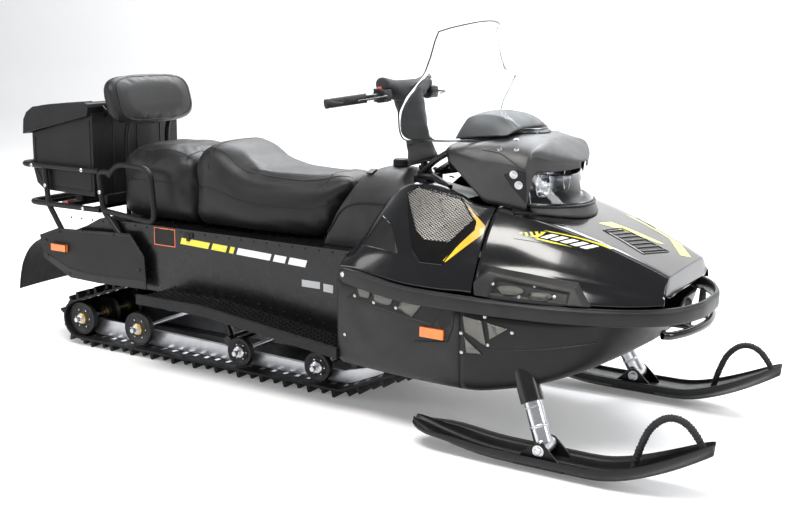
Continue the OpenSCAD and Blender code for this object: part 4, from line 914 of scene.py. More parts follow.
skin("lamp_lens", [[lens_at(v, u) for u in steps(-1, 1, 20)] for v in steps(0, 1, 6)], LENS, "hood", wall=4,
     nodes=["headlight_lens"], core=(700, 0, 900), levels=1)
frame_bits = Build()
frame_bits.tube([lens_at(0, u) + V(2, 0, -4) for u in steps(-1, 1, 24)], 5, 8)
frame_bits.tube([lens_at(v, 1) + V(-2, 2, 0) for v in steps(0, 1, 6)], 5, 8)
frame_bits.tube([lens_at(v, -1) + V(-2, -2, 0) for v in steps(0, 1, 6)], 5, 8)
frame_bits.object("lamp_frame", SATIN, "hood", slot="satin_black")
chin = [[lens_at(0, u) + V(18 * t, 0, 0) for u in steps(-1, 1, 20)] for t in (0, 0.5, 1)]
for t, row in zip((0, 0.5, 1), chin):
    for p in row:
        p.z = mix(p.z - 1, hood_z(p.x, p.y) + 3, t)
skin("lamp_chin", chin, VISOR, "hood", wall=3, core=(700, 0, 700), levels=1)
bowls = Build()
for sign in (-1, 1):
    centre = V(846, sign * 112, 894)
    bowls.lathe([(16, -30), (30, -22), (40, -6), (45, 12), (47, 20), (50, 20), (48, 8), (42, -10), (31, -27),
                 (16, -34)],
                centre, (1, sign * 0.12, 0), 48)
    bowls.lathe([(0, -30), (14, -28), (15, -12), (11, -4), (5, 0), (0, 1)], centre, (1, sign * 0.12, 0), 32)
    for k in range(5):
        bowls.lathe([(20 + 5.4 * k, -27 + 8 * k), (21 + 5.4 * k, -25 + 8 * k), (22.4 + 5.4 * k, -25.6 + 8 * k)],
                    centre, (1, sign * 0.12, 0), 48)
bowls.object("lamp_bowls", CHROME, "hood", slot="rail_metal", sharp=60)
back = [[V(790 + 60 * (1 - u * u), u * 236, z) for u in steps(-1, 1, 20)] for z in (846, 880, 915, 946)]
skin("lamp_back", back, DULL, "hood", wall=2, core=(500, 0, 900), levels=1)

# instrument cowl on top of the housing, seen through the screen
rows = []
for x, half, top, lip in ((548, 150, 1112, 0), (560, 168, 1122, 0), (600, 188, 1136, 0), (650, 200, 1140, 0),
                          (700, 206, 1132, 0), (745, 204, 1112, 0), (775, 196, 1086, 0)):
    base = lookup(x, [[548, 1040], [640, 1062], [775, 1074]])
    ring = []
    for k in range(-8, 9):
        u = k / 8
        y = half * math.copysign(abs(u) ** 0.85, u)
        ring.append(V(x - 16 * u * u, y, mix(base - 6, top, (1 - abs(u) ** 2.6)) + 5 * (abs(abs(u) - 0.5) < 0.07)))
    rows.append(ring)
skin("dash_cowl", rows, VISOR, "hood", wall=3, core=(660, 0, 900), levels=2,
     crease_cols={4: 0.7, 12: 0.7})
rows = [[V(551 + 6 * t, p.y * (1 - 0.04 * t), mix(p.z, 1036 - 10 * (p.y / 150) ** 2,
                                                  t)) for p in rows[0]] for t in (0, 0.5, 1)]
skin("dash_face", rows, SATIN, "hood", wall=2, core=(660, 0, 1000), levels=1)

groove = Build()
for sign in (-1, 1):
    marks = [V(700, sign * 300, 1020), V(770, sign * 300, 1012), V(815, sign * 300, 990), V(851, sign * 300, 970),
             V(868, sign * 290, 966)]
    groove.tube([land(POD_TREE, p, V(0, -sign, 0), 0.6)[0] for p in bend(marks, 6)], 3.2, 8)
groove.object("visor_edge", VISOR, "hood", slot="grey_plastic")

# bolted brackets, screws and the base plate of the housing
fit_bits, fit_dark = Build(), Build()
for sign in (-1, 1):
    way = V(0, -sign, 0)
    ring = [V(788, sign * 300, 942), V(844, sign * 300, 962), V(868, sign * 300, 956), V(868, sign * 300, 848),
            V(814, sign * 300, 903)]
    patch("lamp_bracket_" + ("left" if sign > 0 else "right"), ring, POD_TREE, way, SATIN, "hood", lift=0.8, wall=2,
          bevel=0.6)
    for x, z in ((826, 945), (842, 909)):
        p, n = land(POD_TREE, V(x, sign * 300, z), way, 3)
        fit_dark.bolt(p, n, 10, head=0.5)
    for x, y, z in ((791, 187, 1056), (820, 250, 1025), (763, 261, 1024), (811, 62, 1070)):
        p, n = land(POD_TREE, V(x, sign * y, z), V(-0.3, 0, -1), 0.5)
        fit_bits.bolt(p, n, 6)
fit_bits.object("housing_screws", BRIGHT, "hood", slot="rail_metal")
fit_dark.object("housing_bolts", RAIL, "hood", slot="satin_black")
plate = [V(843, -306, 812), V(959, -166, 799), V(1003, -60, 780), V(1006, 60, 780), V(959, 166, 799),
         V(843, 306, 812), V(800, 240, 830), V(800, -240, 830)]
patch("housing_base", plate, HOOD_TREE, V(0, 0, -1), SATIN, "hood", lift=0.5, wall=5, bevel=1.5)

SCREEN_ROWS = [[1, 330, 446], [0.992, 356, 446], [0.978, 374, 446], [0.955, 388, 447], [0.92, 399, 447],
               [0.87, 409, 448], [0.733, 428, 455], [0.59, 428, 484], [0.472, 411, 515], [0.431, 368, 508],
               [0.395, 328, 500], [0.256, 288, 500], [0.115, 258, 500], [0.036, 238, 503], [0, 190, 528]]


def screen_mid_x(z):
    return soft_lookup(z, [[1040, 842], [1085, 818], [1246, 716], [1456, 584]])


def pod_value(x, k):
    return lookup(x, [[s[0], hood_z(s[0], 0.93 * s[1]) + 1.5 if s[k] is None else s[k]] for s in POD])


def pod_z(x, y):
    return mix(pod_value(x, 2), pod_value(x, 3), lookup(abs(y) / pod_value(x, 1),
                                                        [[a, b] for a, b in reversed(ARCH[3:])]))


rows = []
for share, half, side_x in SCREEN_ROWS:
    row = []
    for u in steps(-1, 1, 28):
        z = mix(1430, 1040, share) + 26 * (1 - u * u) * clamp(1 - 2 * share)
        low = 1070 - 46 * u * u
        if abs(386 * u) < 280:
            xm = screen_mid_x(low)
            low = max(low - 40, pod_z(xm - (xm - 446) * u * u, 386 * u) + 2 + 20 * u * u)
        z = max(z, low + 16 * (1 - share))
        xm = screen_mid_x(z)
        row.append(V(xm - (xm - side_x) * u * u, half * u, z))
    rows.append(row)
skin("windshield_sheet", rows, SCREEN, "hood", wall=3, nodes=["windshield"], core=(300, 0, 1200),
     levels=1)
edge = rows[0] + [r[-1] for r in rows[1:]] + list(reversed(rows[-1]))[1:] + [r[0] for r in reversed(rows[1:-1])]
Build().tube(edge, 3.0, 8, closed=True, squash=0.8).object("windshield_edge", SATIN, "hood", slot="satin_black")

# dash curtain: pleated cloth between the housing and the console
top = [V(556, y, z - 4) for _, y, z in [(0, p.y * 0.97, p.z) for p in pod_row(POD[0])]]
line = spread(top, 49)
low_line = [V(556, p.y * 0.86, 926 + 6 * (1 - (p.y / 262) ** 2)) for p in line]
rows = []
for t in steps(0, 1, 8):
    rows.append([mix(a, b, t) + V(-2.4 + 2.2 * math.cos(math.pi * j) * math.sin(math.pi * min(1, t * 1.3)) , 0, 0)
                 for j, (a, b) in enumerate(zip(line, low_line))])
curtain = skin("dash_curtain", rows, PLEATS, "hood", wall=1.2, nodes=["dash_cover"],
               core=(700, 0, 980), levels=1)


def sheet_area(ob):
    ev = ob.evaluated_get(bpy.context.evaluated_depsgraph_get())
    me = ev.to_mesh()
    total = sum(p.area for p in me.polygons)
    ev.to_mesh_clear()
    return total / 2


bpy.context.view_layer.update()
area = sheet_area(curtain)

# ---------------------------------------------------------------- console and cap

rows = []
CROWN = [(205, 602), (205, 790), (196, 812), (150, 850), (120, 872), (90, 886), (44, 907), (0, 908)]
for x, top in ((4, 606), (14, 640), (60, 742), (112, 836), (124, 866), (136, 884), (174, 901), (230, 902), (284, 902),
               (300, 876),
               (312, 846), (380, 832), (450, 816), (518, 800)):
    half = [V(x, y, min(z, top)) for y, z in CROWN]
    rows.append(half + [flip(p) for p in reversed(half[:-1])])
skin("console_shell", rows, GREY, "chassis", wall=4, nodes=["console"], core=(260, 0, 650),
     levels=1, bevel=1.0)
cap = Build()
cap.lathe([(0, 0), (31, 0), (33.5, 2), (33.5, 6), (30, 8), (30, 20), (28, 26), (20, 28), (0, 28)], (226, 0, 902.5),
          (0, 0, 1), 48)
for k in range(24):
    a = 2 * math.pi * k / 24
    cap.rod(V(226, 0, 910) + V(math.cos(a), math.sin(a), 0) * 30.5,
            V(226, 0, 925) + V(math.cos(a), math.sin(a), 0) * 30.5, 1.9, 8)
cap.box((226, 0, 929), (50, 8, 4))
cap.object("fuel_cap_ribbed", SATIN, "chassis", ["fuel_cap"], "satin_black", bevel=0.8)
trim = Build()
trim.box((150, -96, 884), (26, 40, 6), Matrix.Rotation(0.3, 3, "X"))
trim.lathe([(0, 0), (11, 0), (12, 3), (9, 6), (0, 7)], (400, 90, 860), (0.2, 0.3, 1), 24)
trim.tube(bend([V(20, -206, 650), V(110, -206, 760), V(300, -206, 780), V(500, -206, 742)], 8), 2.4, 8)
trim.tube(bend([V(20, 206, 650), V(110, 206, 760), V(300, 206, 780), V(500, 206, 742)], 8), 2.4, 8)
trim.object("console_trim", SATIN, "chassis", slot="satin_black")

# ---------------------------------------------------------------- seats

def seat_ring(s, n=40):
    out = []
    for k in range(n):
        a = 2 * math.pi * k / n
        c, d = math.cos(a), math.sin(a)
        out.append(V(s[0], s[1] * math.copysign(abs(c) ** 0.5, c),
                     (s[2] + s[3]) / 2 + (s[3] - s[2]) / 2 * math.copysign(abs(d) ** 0.45, d)))
    return out


def curve_sections(table, xs):
    return [[x] + [soft_lookup(x, [[s[0], s[k]] for s in table]) for k in (1, 2, 3)] for x in xs]


def swell(ob, cap=16, voxel=6, floor_z=None, pressure=4.0):
    """Turns a closed shape into a stuffed one by a short cloth simulation, and applies the result."""
    mod = ob.modifiers.new("even", "REMESH")
    mod.mode, mod.voxel_size = "VOXEL", voxel * MM
    apply_all(ob)
    start = [v.co.copy() for v in ob.data.vertices]
    if floor_z is not None:
        group = ob.vertex_groups.new(name="held")
        group.add([v.index for v in ob.data.vertices if v.co.z < floor_z * MM], 1.0, "REPLACE")
    cloth = ob.modifiers.new("cloth", "CLOTH")
    c = cloth.settings
    c.quality, c.mass = 4, 0.3
    c.use_pressure, c.uniform_pressure_force = True, pressure
    c.tension_stiffness = c.compression_stiffness = 20
    c.bending_stiffness = 6
    c.effector_weights.gravity = 0
    if floor_z is not None:
        c.vertex_group_mass = "held"
    for f in range(1, 13):
        scene.frame_set(f)
    apply_all(ob)
    for v, s in zip(ob.data.vertices, start):
        d = v.co - s
        if d.length > cap * MM:
            v.co = s + d.normalized() * cap * MM
    scene.frame_set(1)


def apply_all(ob):
    dg = bpy.context.evaluated_depsgraph_get()
    bpy.context.view_layer.update()
    me = bpy.data.meshes.new_from_object(ob.evaluated_get(dg))
    mats = [m for m in ob.data.materials]
    ob.modifiers.clear()
    ob.data = me
    me.materials.clear()
    for m in mats:
        me.materials.append(m)
    for p in me.polygons:
        p.use_smooth = True


def relax(ob, factor=0.5, times=6):
    mod = ob.modifiers.new("soften", "SMOOTH")
    mod.factor, mod.iterations = factor, times
    apply_all(ob)


def inside_box(ob, low, high):
    for v in ob.data.vertices:
        for k in range(3):
            v.co[k] = clamp(v.co[k], low[k] * MM, high[k] * MM)


DRIVER = [[-636, 204, 602, 906], [-600, 222, 602, 950], [-560, 225, 602, 960], [-500, 225, 602, 944],
          [-450, 225, 602, 910], [-400, 224, 602, 876],
          [-340, 222, 602, 858], [-280, 214, 602, 853], [-200, 200, 602, 852], [-120, 186, 602, 852],
          [-60, 175, 604, 853], [-16, 163, 632, 855], [28, 145, 722, 856], [72, 124, 812, 852]]
REAR = [[-1036, 192, 602, 880], [-1000, 218, 602, 917], [-950, 222, 602, 924], [-900, 223, 602, 924],
        [-800, 223, 602, 933], [-700, 222, 602, 918], [-652, 202, 602, 898]]
for name, table, node, xs, dip in (
        ("driver_seat_pad", DRIVER, "driver_seat", [-634, -626, -605, -580, -560, -530, -500, -460, -420, -380, -340,
                                                    -300, -260, -200, -140, -90, -50, -10, 28, 52, 72], 0),
        ("passenger_seat_pad", REAR, "passenger_seat", [-1038, -1028, -1008, -980, -940, -900, -850, -800, -750, -710,
                                                        -680, -662, -652], 1)):
    rows = []
    for i, x in enumerate(xs):
        s = curve_sections(table, [x])[0]
        pull = 1 - 0.06 * (i in (0, len(xs) - 1))
        ring = seat_ring([x, s[1] * pull, s[2], s[3] - 8 * (i in (0, len(xs) - 1))])
        for p in ring:
            up = smooth((p.z - (s[2] + s[3]) / 2) / 60)
            mid = clamp(1 - (p.y / (s[1] * 0.8)) ** 2)
            if dip:
                p.z -= 22 * up * mid * smooth((x + 1010) / 120) * smooth((-660 - x) / 90)
            else:
                p.z -= 12 * up * mid * smooth((-430 + 40 - x) / -80) * smooth((20 - x) / 100)
        rows.append(ring)
    ob = skin(name, rows, HIDE, "chassis", wall=0, nodes=[node], levels=0, closed=True, caps=True,
              core=(rows[len(rows) // 2][0].x, 0, 750))
    swell(ob, cap=12, voxel=8, floor_z=620)
    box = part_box(node)
    inside_box(ob, [c / MM - 4 for c in box[0]], [c / MM + 6 for c in box[1]])
    relax(ob, 0.5, 8)
    for v in ob.data.vertices:
        v.co.z = max(v.co.z, 0.6012)
    mod = ob.modifiers.new("rounding", "SUBSURF")
    mod.levels = mod.render_levels = 1
    tree = tree_of(ob)
    seams = Build()
    lines = []
    if node == "driver_seat":
        for x in (-548, -30):
            lines.append([V(x, mix(-240, 240, k / 30), 0) for k in range(31)])
        for sign in (-1, 1):
            lines.append([V(x, sign * lookup(x, [[-620, 176], [-400, 178], [-120, 142], [60, 84]]),
                            0) for x in steps(-616, 58, 40)])
    else:
        for x in (-985, -690):
            lines.append([V(x, mix(-236, 236, k / 30), 0) for k in range(31)])
        for sign in (-1, 1):
            lines.append([V(x, sign * 172, 0) for x in steps(-1026, -664, 30)])
    for pts in lines:
        path = []
        for p in pts:
            hit = tree.ray_cast(V(p.x, p.y, 1300) * MM, V(0, 0, -1))
            if hit[0] is not None:
                path.append(hit[0] / MM - V(0, 0, 0.4))
        seams.tube(path, 2.6, 8)
    for sign in (-1, 1):
        for share in ((0.55,) if node == "passenger_seat" else (0.5,)):
            path = []
            for x in steps(xs[1], xs[-4], 40):
                s = curve_sections(table, [x])[0]
                z = mix(s[2], s[3], share)
                hit = tree.ray_cast(V(x, sign * 400, z) * MM, V(0, -sign, 0))
                if hit[0] is not None:
                    path.append(hit[0] / MM)
            seams.tube(path, 2.2, 8)
    seams.object(name.replace("pad", "piping"), PIPING, "chassis", slot="seat_cover")

# backrest
LEAN = math.radians(15.5)
rows = []
for a in steps(0, 1, 16):
    c = -math.cos(math.pi * a)
    k = math.sin(clamp(math.pi * a, 0.14, math.pi - 0.14)) ** 0.35
    ring = []
    for b in range(36):
        e = 2 * math.pi * b / 36
        px = (-18 * (1 - c * c) if math.cos(e) > 0 else 0) + 46 * k * math.copysign(abs(math.cos(e)) ** 0.7,
                math.cos(e))
        pz = 118 * (1 + k * math.copysign(abs(math.sin(e)) ** 0.7, math.sin(e))) + 5
        ring.append(V(-1018 + px * math.cos(LEAN) - pz * math.sin(LEAN), c * 252,
                      985 + pz * math.cos(LEAN) + px * math.sin(LEAN)))
    rows.append(ring)
ob = skin("backrest_pad", rows, HIDE, "chassis", wall=0, nodes=["backrest"], levels=0, closed=True,
          caps=True, core=(-1050, 0, 1100))
swell(ob, cap=8, voxel=7)
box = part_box("backrest")
inside_box(ob, [c / MM - 3 for c in box[0]], [c / MM + 3 for c in box[1]])
relax(ob, 0.5, 6)
mod = ob.modifiers.new("rounding", "SUBSURF")
mod.levels = mod.render_levels = 1
tree = tree_of(ob)
piping = Build()
path = []
for k in range(72):
    a = 2 * math.pi * k / 72
    y = 225 * math.copysign(abs(math.cos(a)) ** 0.5, math.cos(a))
    h = 123 + 95 * math.copysign(abs(math.sin(a)) ** 0.5, math.sin(a))
    p = V(-1018 - h * math.sin(LEAN), y, 985 + h * math.cos(LEAN))
    way = V(-math.cos(LEAN), 0, -math.sin(LEAN))
    path.append(land(tree, p, way, 0, 160)[0])
piping.tube(path, 2.6, 8, closed=True)
piping.object("backrest_piping", PIPING, "chassis", slot="seat_cover")

# ---------------------------------------------------------------- rack and cargo box

RY, RR = 288, 12
rack, clamps = Build(), Build()
for x_end, z in ((-1566, 806), (-1524, 640)):
    rack.tube(round_corners([V(-1086, RY, z), V(x_end, RY, z), V(x_end, -RY, z), V(-1086, -RY, z)], 70, 10), RR, 20)
for sign in (-1, 1):
    y = sign * RY
    rack.tube(round_corners([V(-1020, y, 806), V(-1090, y, 806), V(-1070, y, 640), V(-905, y, 470)], 30, 8), RR, 20)
    rack.tube([V(-1410, y, 806), V(-1396, y, 640), V(-1290, y, 485)], RR, 20)
    rack.tube(round_corners([V(-1060, y, 640), V(-780, y, 612), V(-800, y, 836), V(-990, y, 846), V(-1030, y, 790)],
                            50, 10), RR, 20)
    for x, z in ((-905, 470), (-1290, 485)):
        rack.rod((x, sign * 269.3, z), (x, sign * 287, z), 14, 24)
        clamps.bolt(V(x, sign * 300, z), V(0, sign, 0), 9)
    for x, z in ((-1078, 720), (-1402, 722), (-1180, 640), (-1180, 806), (-1480, 806)):
        clamps.bolt(V(x, sign * 299.5, z), V(0, sign, 0), 6)
    rack.tube(round_corners([V(-1074, sign * 130, 602), V(-1074, sign * 130, 985), V(-1024, sign * 130, 1056)], 60,
                            8), 10.5, 16)
for x in (-1440, -1290, -1140):
    rack.rod((x, -RY, 640), (x, RY, 640), 9, 16)
rack.object("rack_tubes", MATTE, "chassis", ["rear_rack"], "black_metal")
clamps.object("rack_bolts", BRIGHT, "chassis", slot="rail_metal")

BOX_SIDE = [(-1134, 690), (-1438, 698), (-1480, 726), (-1498, 786), (-1498, 946), (-1134, 1048)]
case = Build()
n = len(BOX_SIDE)
outer = [(x, z) for x, z in BOX_SIDE]
inner = [(-1140, 696), (-1438, 704), (-1474, 729), (-1492, 786), (-1492, 947.5), (-1140, 1046.5)]
pts = []
for line_, half in ((outer, 270), (inner, 264)):
    for s in (-1, 1):
        pts += [V(x, s * half, z) for x, z in line_]
faces = []
for s, k in ((0, 0), (1, n)):
    faces.append([k + i for i in range(n)])
    faces.append([2 * n + k + i for i in range(n)])
for base in (0, 2 * n):
    for i in range(n - 2):
        faces.append([base + i, base + i + 1, base + n + i + 1, base + n + i])
    faces.append([base + 5, base, base + n, base + n + 5])
    faces.append([base + 3, base + 4, base + n + 4, base + n + 3])
for a, b in ((5, 4),):
    faces.append([a, b, 2 * n + b, 2 * n + a])
    faces.append([n + a, n + b, 3 * n + b, 3 * n + a])
faces.append([5, n + 5, 3 * n + 5, 2 * n + 5])
faces.append([4, n + 4, 3 * n + 4, 2 * n + 4])
faces = [f for k, f in enumerate(faces) if f not in faces[:k]]
case.add(pts, faces)
for x in (-1290, -1140):
    case.box((x, 0, 672), (40, 420, 44))
for sign in (-1, 1):
    for y in (sign * 158, sign * 182):
        case.slab([(-1137, 1030), (-1120, 1030), (-1112, 1052), (-1116, 1060), (-1124, 1060), (-1128, 1048),
                   (-1137, 1048)], y - 8, y + 8)
case.object("cargo_case", MATTE, "chassis", ["cargo_box"], "satin_black", bevel=3.0)
ribs = Build()
for sign in (-1, 1):
    y = sign * 270.5
    ribs.tube([V(-1150, y, 1018), V(-1150, y, 712), V(-1430, y, 716), V(-1480, y, 790), V(-1480, y, 928)], 2.4, 8)
for y in (-150, 0, 150):
    ribs.tube([V(-1133.5, y, 712), V(-1133.5, y, 1010)], 2.4, 8)
    ribs.tube([V(-1498.5, y, 800), V(-1498.5, y, 930)], 2.4, 8)
ribs.object("cargo_ribs", SATIN, "chassis", slot="satin_black")

lid = Build()
LID = [(-1534, 938), (-1532, 970), (-1528, 1004), (-1508, 1036), (-1468, 1061), (-1420, 1068), (-1300, 1081),
       (-1160, 1094), (-1142, 1088), (-1136, 1074), (-1144, 1036)]
lid_in = [(-1528, 941), (-1526, 970), (-1522, 1002), (-1504, 1031), (-1466, 1055), (-1420, 1062), (-1300, 1075),
          (-1164, 1088), (-1148, 1083), (-1142, 1073), (-1150, 1038)]
n = len(LID)
pts = [V(x, s * 290, z) for s in (-1, 1) for x, z in LID] + [V(x, s * 284, z) for s in (-1, 1) for x, z in lid_in]
faces = [list(range(n)), [n + i for i in range(n)], [2 * n + i for i in range(n)], [3 * n + i for i in range(n)]]
for base in (0, 2 * n):
    faces += [[base + i, base + i + 1, base + n + i + 1, base + n + i] for i in range(n - 1)]
faces += [[0, n - 1, 3 * n - 1, 2 * n], [n, 2 * n - 1, 4 * n - 1, 3 * n], [0, n, 3 * n, 2 * n],
          [n - 1, 2 * n - 1, 4 * n - 1, 3 * n - 1]]
lid.add(pts, faces)
for sign in (-1, 1):
    for y in (sign * 140, sign * 200):
        lid.slab([(-1128, 1046), (-1113, 1048), (-1114, 1060), (-1136, 1078), (-1146, 1080)], y - 4, y + 4)
    lid.rod((-1120, sign * 140, 1052), (-1120, sign * 200, 1052), 4, 12)
lid.object("cargo_lid_shell", MATTE, "cargo_lid", ["cargo_lid"], "satin_black", bevel=4.0, segments=3)
lip = Build()
for sign in (-1, 1):
    lip.tube([V(-1531, sign * 290, 944), V(-1145, sign * 290, 1040)], 3, 8)
    lip.tube([V(x, sign * 240, z + 0.8) for x, z in LID[3:8]], 3, 8)
for y in (-110, 110):
    lip.box((-1534, y, 960), (8, 44, 40), Matrix.Rotation(0.05, 3, "Y"))
lip.object("cargo_lid_trim", SATIN, "cargo_lid", slot="satin_black", bevel=1.0)

# ---------------------------------------------------------------- track and wheels

WHEELS = [(-1287, 120, 80), (89, 120, 80), (500, 303, 85), (-765, 300, 80)]


def leave_angle(i):
    a, b = WHEELS[i], WHEELS[(i + 1) % 4]
    dx, dz = b[0] - a[0], b[1] - a[1]
    return math.degrees(math.atan2(dz, dx)) - 90 - math.degrees(math.asin((b[2] - a[2]) / math.hypot(dx, dz)))


def belt_line(off, step=6):
    out = []
    for i in range(4):
        start = leave_angle((i + 3) % 4)
        turn = (leave_angle(i) - start) % 360
        n = math.ceil(turn / step)
        for k in range(n + 1):
            a = math.radians(start + turn * k / n)
            out.append((WHEELS[i][0] + (WHEELS[i][2] + off) * math.cos(a),
                        WHEELS[i][1] + (WHEELS[i][2] + off) * math.sin(a)))
    return out


line = belt_line(10)
inner_line = belt_line(0.5)
sums = [0]
for k in range(len(line)):
    a, b = line[k], line[(k + 1) % len(line)]
    sums.append(sums[-1] + math.hypot(b[0] - a[0], b[1] - a[1]))


def along(s):
    s %= sums[-1]
    i = max(k for k in range(len(line)) if sums[k] <= s)
    a, b = line[i], line[(i + 1) % len(line)]
    d = math.hypot(b[0] - a[0], b[1] - a[1])
    t = (s - sums[i]) / d
    return V(mix(a[0], b[0], t), 0, mix(a[1], b[1], t)), V((b[1] - a[1]) / d, 0, -(b[0] - a[0]) / d)


belt = Build()
n = len(line)
pts = [V(x, y, z) for y in (-249, 249) for x, z in line] + [V(x, y, z) for y in (-249, 249) for x, z in inner_line]
faces = []
for k in range(n):
    q = (k + 1) % n
    faces += [[k, q, n + q, n + k], [2 * n + k, 2 * n + q, 3 * n + q, 3 * n + k], [k, q, 2 * n + q, 2 * n + k],
              [n + k, n + q, 3 * n + q, 3 * n + k]]
belt.add(pts, faces)
lugs, clips = Build(), Build()
pitch = sums[-1] / 72
for k in range(72):
    p, nrm = along((k + 0.5) * pitch)
    t = V(-nrm.z, 0, nrm.x)
    bars = ((-246, -158), (-138, -56), (-40, 40), (56, 138), (158, 246)) if k % 2 else ((-232, -120), (-96, -8),
            (8, 96), (120, 232))
    for y0, y1 in bars:
        foot, tip, high = 10.4, 5.4, 30 if k % 2 else 28
        q = []
        for y in (y0, y1):
            e = 4 if y == y0 else -4
            q += [p - t * foot + V(0, y, 0) - nrm * 1, p + t * foot + V(0, y, 0) - nrm * 1,
                  p + t * tip + V(0, y + e, 0) + nrm * high, p - t * tip + V(0, y + e, 0) + nrm * high]
        lugs.add(q, [(0, 1, 2, 3), (7, 6, 5, 4), (0, 4, 5, 1), (1, 5, 6, 2), (2, 6, 7, 3), (3, 7, 4, 0)])
    belt_rib = [p - t * 6 - nrm * 1 + V(0, -248, 0), p + t * 6 - nrm * 1 + V(0, -248, 0),
                p + t * 4 + nrm * 7 + V(0, -246, 0), p - t * 4 + nrm * 7 + V(0, -246, 0)]
    q = belt_rib + [v + V(0, 2 * -v.y, 0) for v in belt_rib]
    lugs.add(q, [(0, 1, 2, 3), (7, 6, 5, 4), (0, 4, 5, 1), (1, 5, 6, 2), (2, 6, 7, 3), (3, 7, 4, 0)])
    for y in (-190, 190):
        turn = Matrix((t, V(0, 1, 0), nrm)).transposed()
        clips.box(p + V(0, y, 0) - nrm * 10.4 + t * pitch / 2, (18, 26, 2.2), turn)
belt.object("track_belt", TRACK, "chassis", ["track"], "track_rubber")
lugs.object("track_lugs", TRACK, "chassis", slot="track_rubber", bevel=1.6)
clips.object("track_clips", BRIGHT, "chassis", slot="rail_metal")

tyres, discs, hubs, golds, axles = Build(), Build(), Build(), Build(), Build()


def wheel(x, z, r, y, gold=False):
    side = -1 if y < 0 else 1
    r -= 4.2
    tyres.lathe([(r - 14, -12), (r - 3, -13), (r, -9), (r, 9), (r - 3, 13), (r - 14, 12)], (x, y, z), (0, side, 0), 48)
    discs.lathe([(20, -8), (r - 26, -5), (r - 14, -11), (r - 13, 0), (r - 14, 11), (r - 20, 8), (r - 26, 4), (34, 3),
                 (26, 8), (20, 8)], (x, y, z), (0, side, 0), 48)
    (golds if gold else hubs).lathe([(8, -20), (24, -20), (26, -17), (26, 17), (23, 20), (18, 21), (10, 21), (8, 20)],
                                    (x, y, z), (0, side, 0), 32)
    for k in range(6):
        a = math.pi / 3 * k
        c = V(x, y, z) + V(math.cos(a), 0, math.sin(a)) * (r - 34 if r > 70 else r - 30)
        hubs.rod(c + V(0, side * 2, 0), c + V(0, side * 8, 0), 3, 10)


for x, z, r, ys, gold in ((-1287, 120, 80, (-215, -70, 70, 215), True), (-955, 120, 80, (-215, 215), True),
                          (-765, 300, 80, (-215, -70, 70, 215), False), (-400, 106, 66, (-215, 215), False),
                          (-15, 106, 66, (-215, 215), False)):
    for y in ys:
        wheel(x, z, r, y, gold)
    axles.rod((x, -263, z), (x, 263, z), 10, 20)
    for sign in (-1, 1):
        axles.bolt((x, sign * 237, z), (0, sign, 0), 13, head=0.5)
tyres.object("wheel_tyres", TYRE, "chassis", ["idler_wheels", "rail_wheels"], "wheel_rubber")
discs.object("wheel_discs", IRON, "chassis", slot="wheel_rubber")
hubs.object("wheel_hubs", BRIGHT, "chassis", slot="engine_metal")
golds.object("wheel_hubs_gold", GOLD, "chassis", slot="engine_metal")
axles.object("wheel_axles", RAIL, "chassis", slot="engine_metal")

# shocks with coil springs
shock = Build()
for low, top in (((104, 0, 154), (-190, 0, 330)), ((-514, 0, 154), (-290, 0, 318))):
    a, b = V(*low), V(*top)
    d, length = (b - a).normalized(), (b - a).length
    shock.rod(a, b, 7, 16, mat=1)
    shock.rod(a + d * length * 0.12, a + d * length * 0.6, 14, 24, mat=1)
    for q in (a, b):
        shock.rod(q - V(0, 17, 0), q + V(0, 17, 0), 18, 24, mat=1)
    side_dir = d.orthogonal().normalized()
    other = d.cross(side_dir)
    coil = [a + d * mix(0.2, 0.86, t) * length + (side_dir * math.cos(t * 2 * math.pi * 9) + other * math.sin(t * 2 * math.pi * 9)) * 22 for t in steps(0, 1, 180)]
    shock.tube(coil, 3.8, 8)
shock.object("skid_springs", [SPRING, BRIGHT], "chassis", ["skid_shocks"], "shock_yellow")

# ---------------------------------------------------------------- rear skirts and flap

SKIRT = [(-820, 330), (-1100, 322), (-1262, 326), (-1420, 400), (-1440, 500), (-1330, 540), (-905, 560), (-830, 470)]
skirts, bands, rivets = Build(), Build(), Build()
for sign in (-1, 1):
    skirts.slab(SKIRT, sign * 303, sign * 307.6)
    skirts.box((-1235, sign * 286, 400), (50, 33, 40))
    skirts.box((-875, sign * 286, 400), (50, 33, 40))
    bands.slab([(-822, 332), (-1100, 324), (-1261, 328), (-1415, 398), (-1424, 428), (-1262, 366), (-1100, 356),
                (-824, 366)], sign * 307.8, sign * 309)
    bands.tube([V(x, sign * 306.5, z) for x, z in ((-838, 476), (-909, 552), (-1328, 533), (-1432, 496))], 3, 8)
    for x, z in ((-860, 500), (-860, 410), (-1000, 545), (-1180, 540), (-1320, 524), (-1405, 480), (-1395, 410),
                 (-1262, 345)):
        rivets.bolt(V(x, sign * 309, z), V(0, sign, 0), 5)
skirts.object("rear_skirt_sheets", SATIN, "chassis", ["rear_skirts"], "satin_black", bevel=1.2)
bands.object("rear_skirt_bands", GREY, "chassis", slot="grey_plastic")
rivets.object("rear_skirt_rivets", PAINT, "chassis", slot="black_metal")
curve = bend([V(-1338, 0, 505), V(-1430, 0, 486), V(-1508, 0, 440), V(-1560, 0, 370), V(-1584, 0, 300),
              V(-1596, 0, 233)], 4)
rows = []
for i, c in enumerate(curve):
    k = i / (len(curve) - 1)
    rows.append([V(c.x - 21.5 * k * (1 - (y / 301) ** 2), y, c.z) for y in steps(-300, 300, 20)])
skin("snow_flap_sheet", rows, TRACK, "chassis", wall=5, nodes=["snow_flap"],
     core=(-1300, 0, 200), levels=1, bevel=1.0)
flange = Build()
flange.box((-1333, 0, 471), (22, 536, 60))
for y in steps(-230, 230, 4):
    flange.bolt(V(-1345, y, 486), V(-1, 0, 0), 6)
flange.object("snow_flap_flange", MATTE, "chassis", slot="black_metal", bevel=1.5)

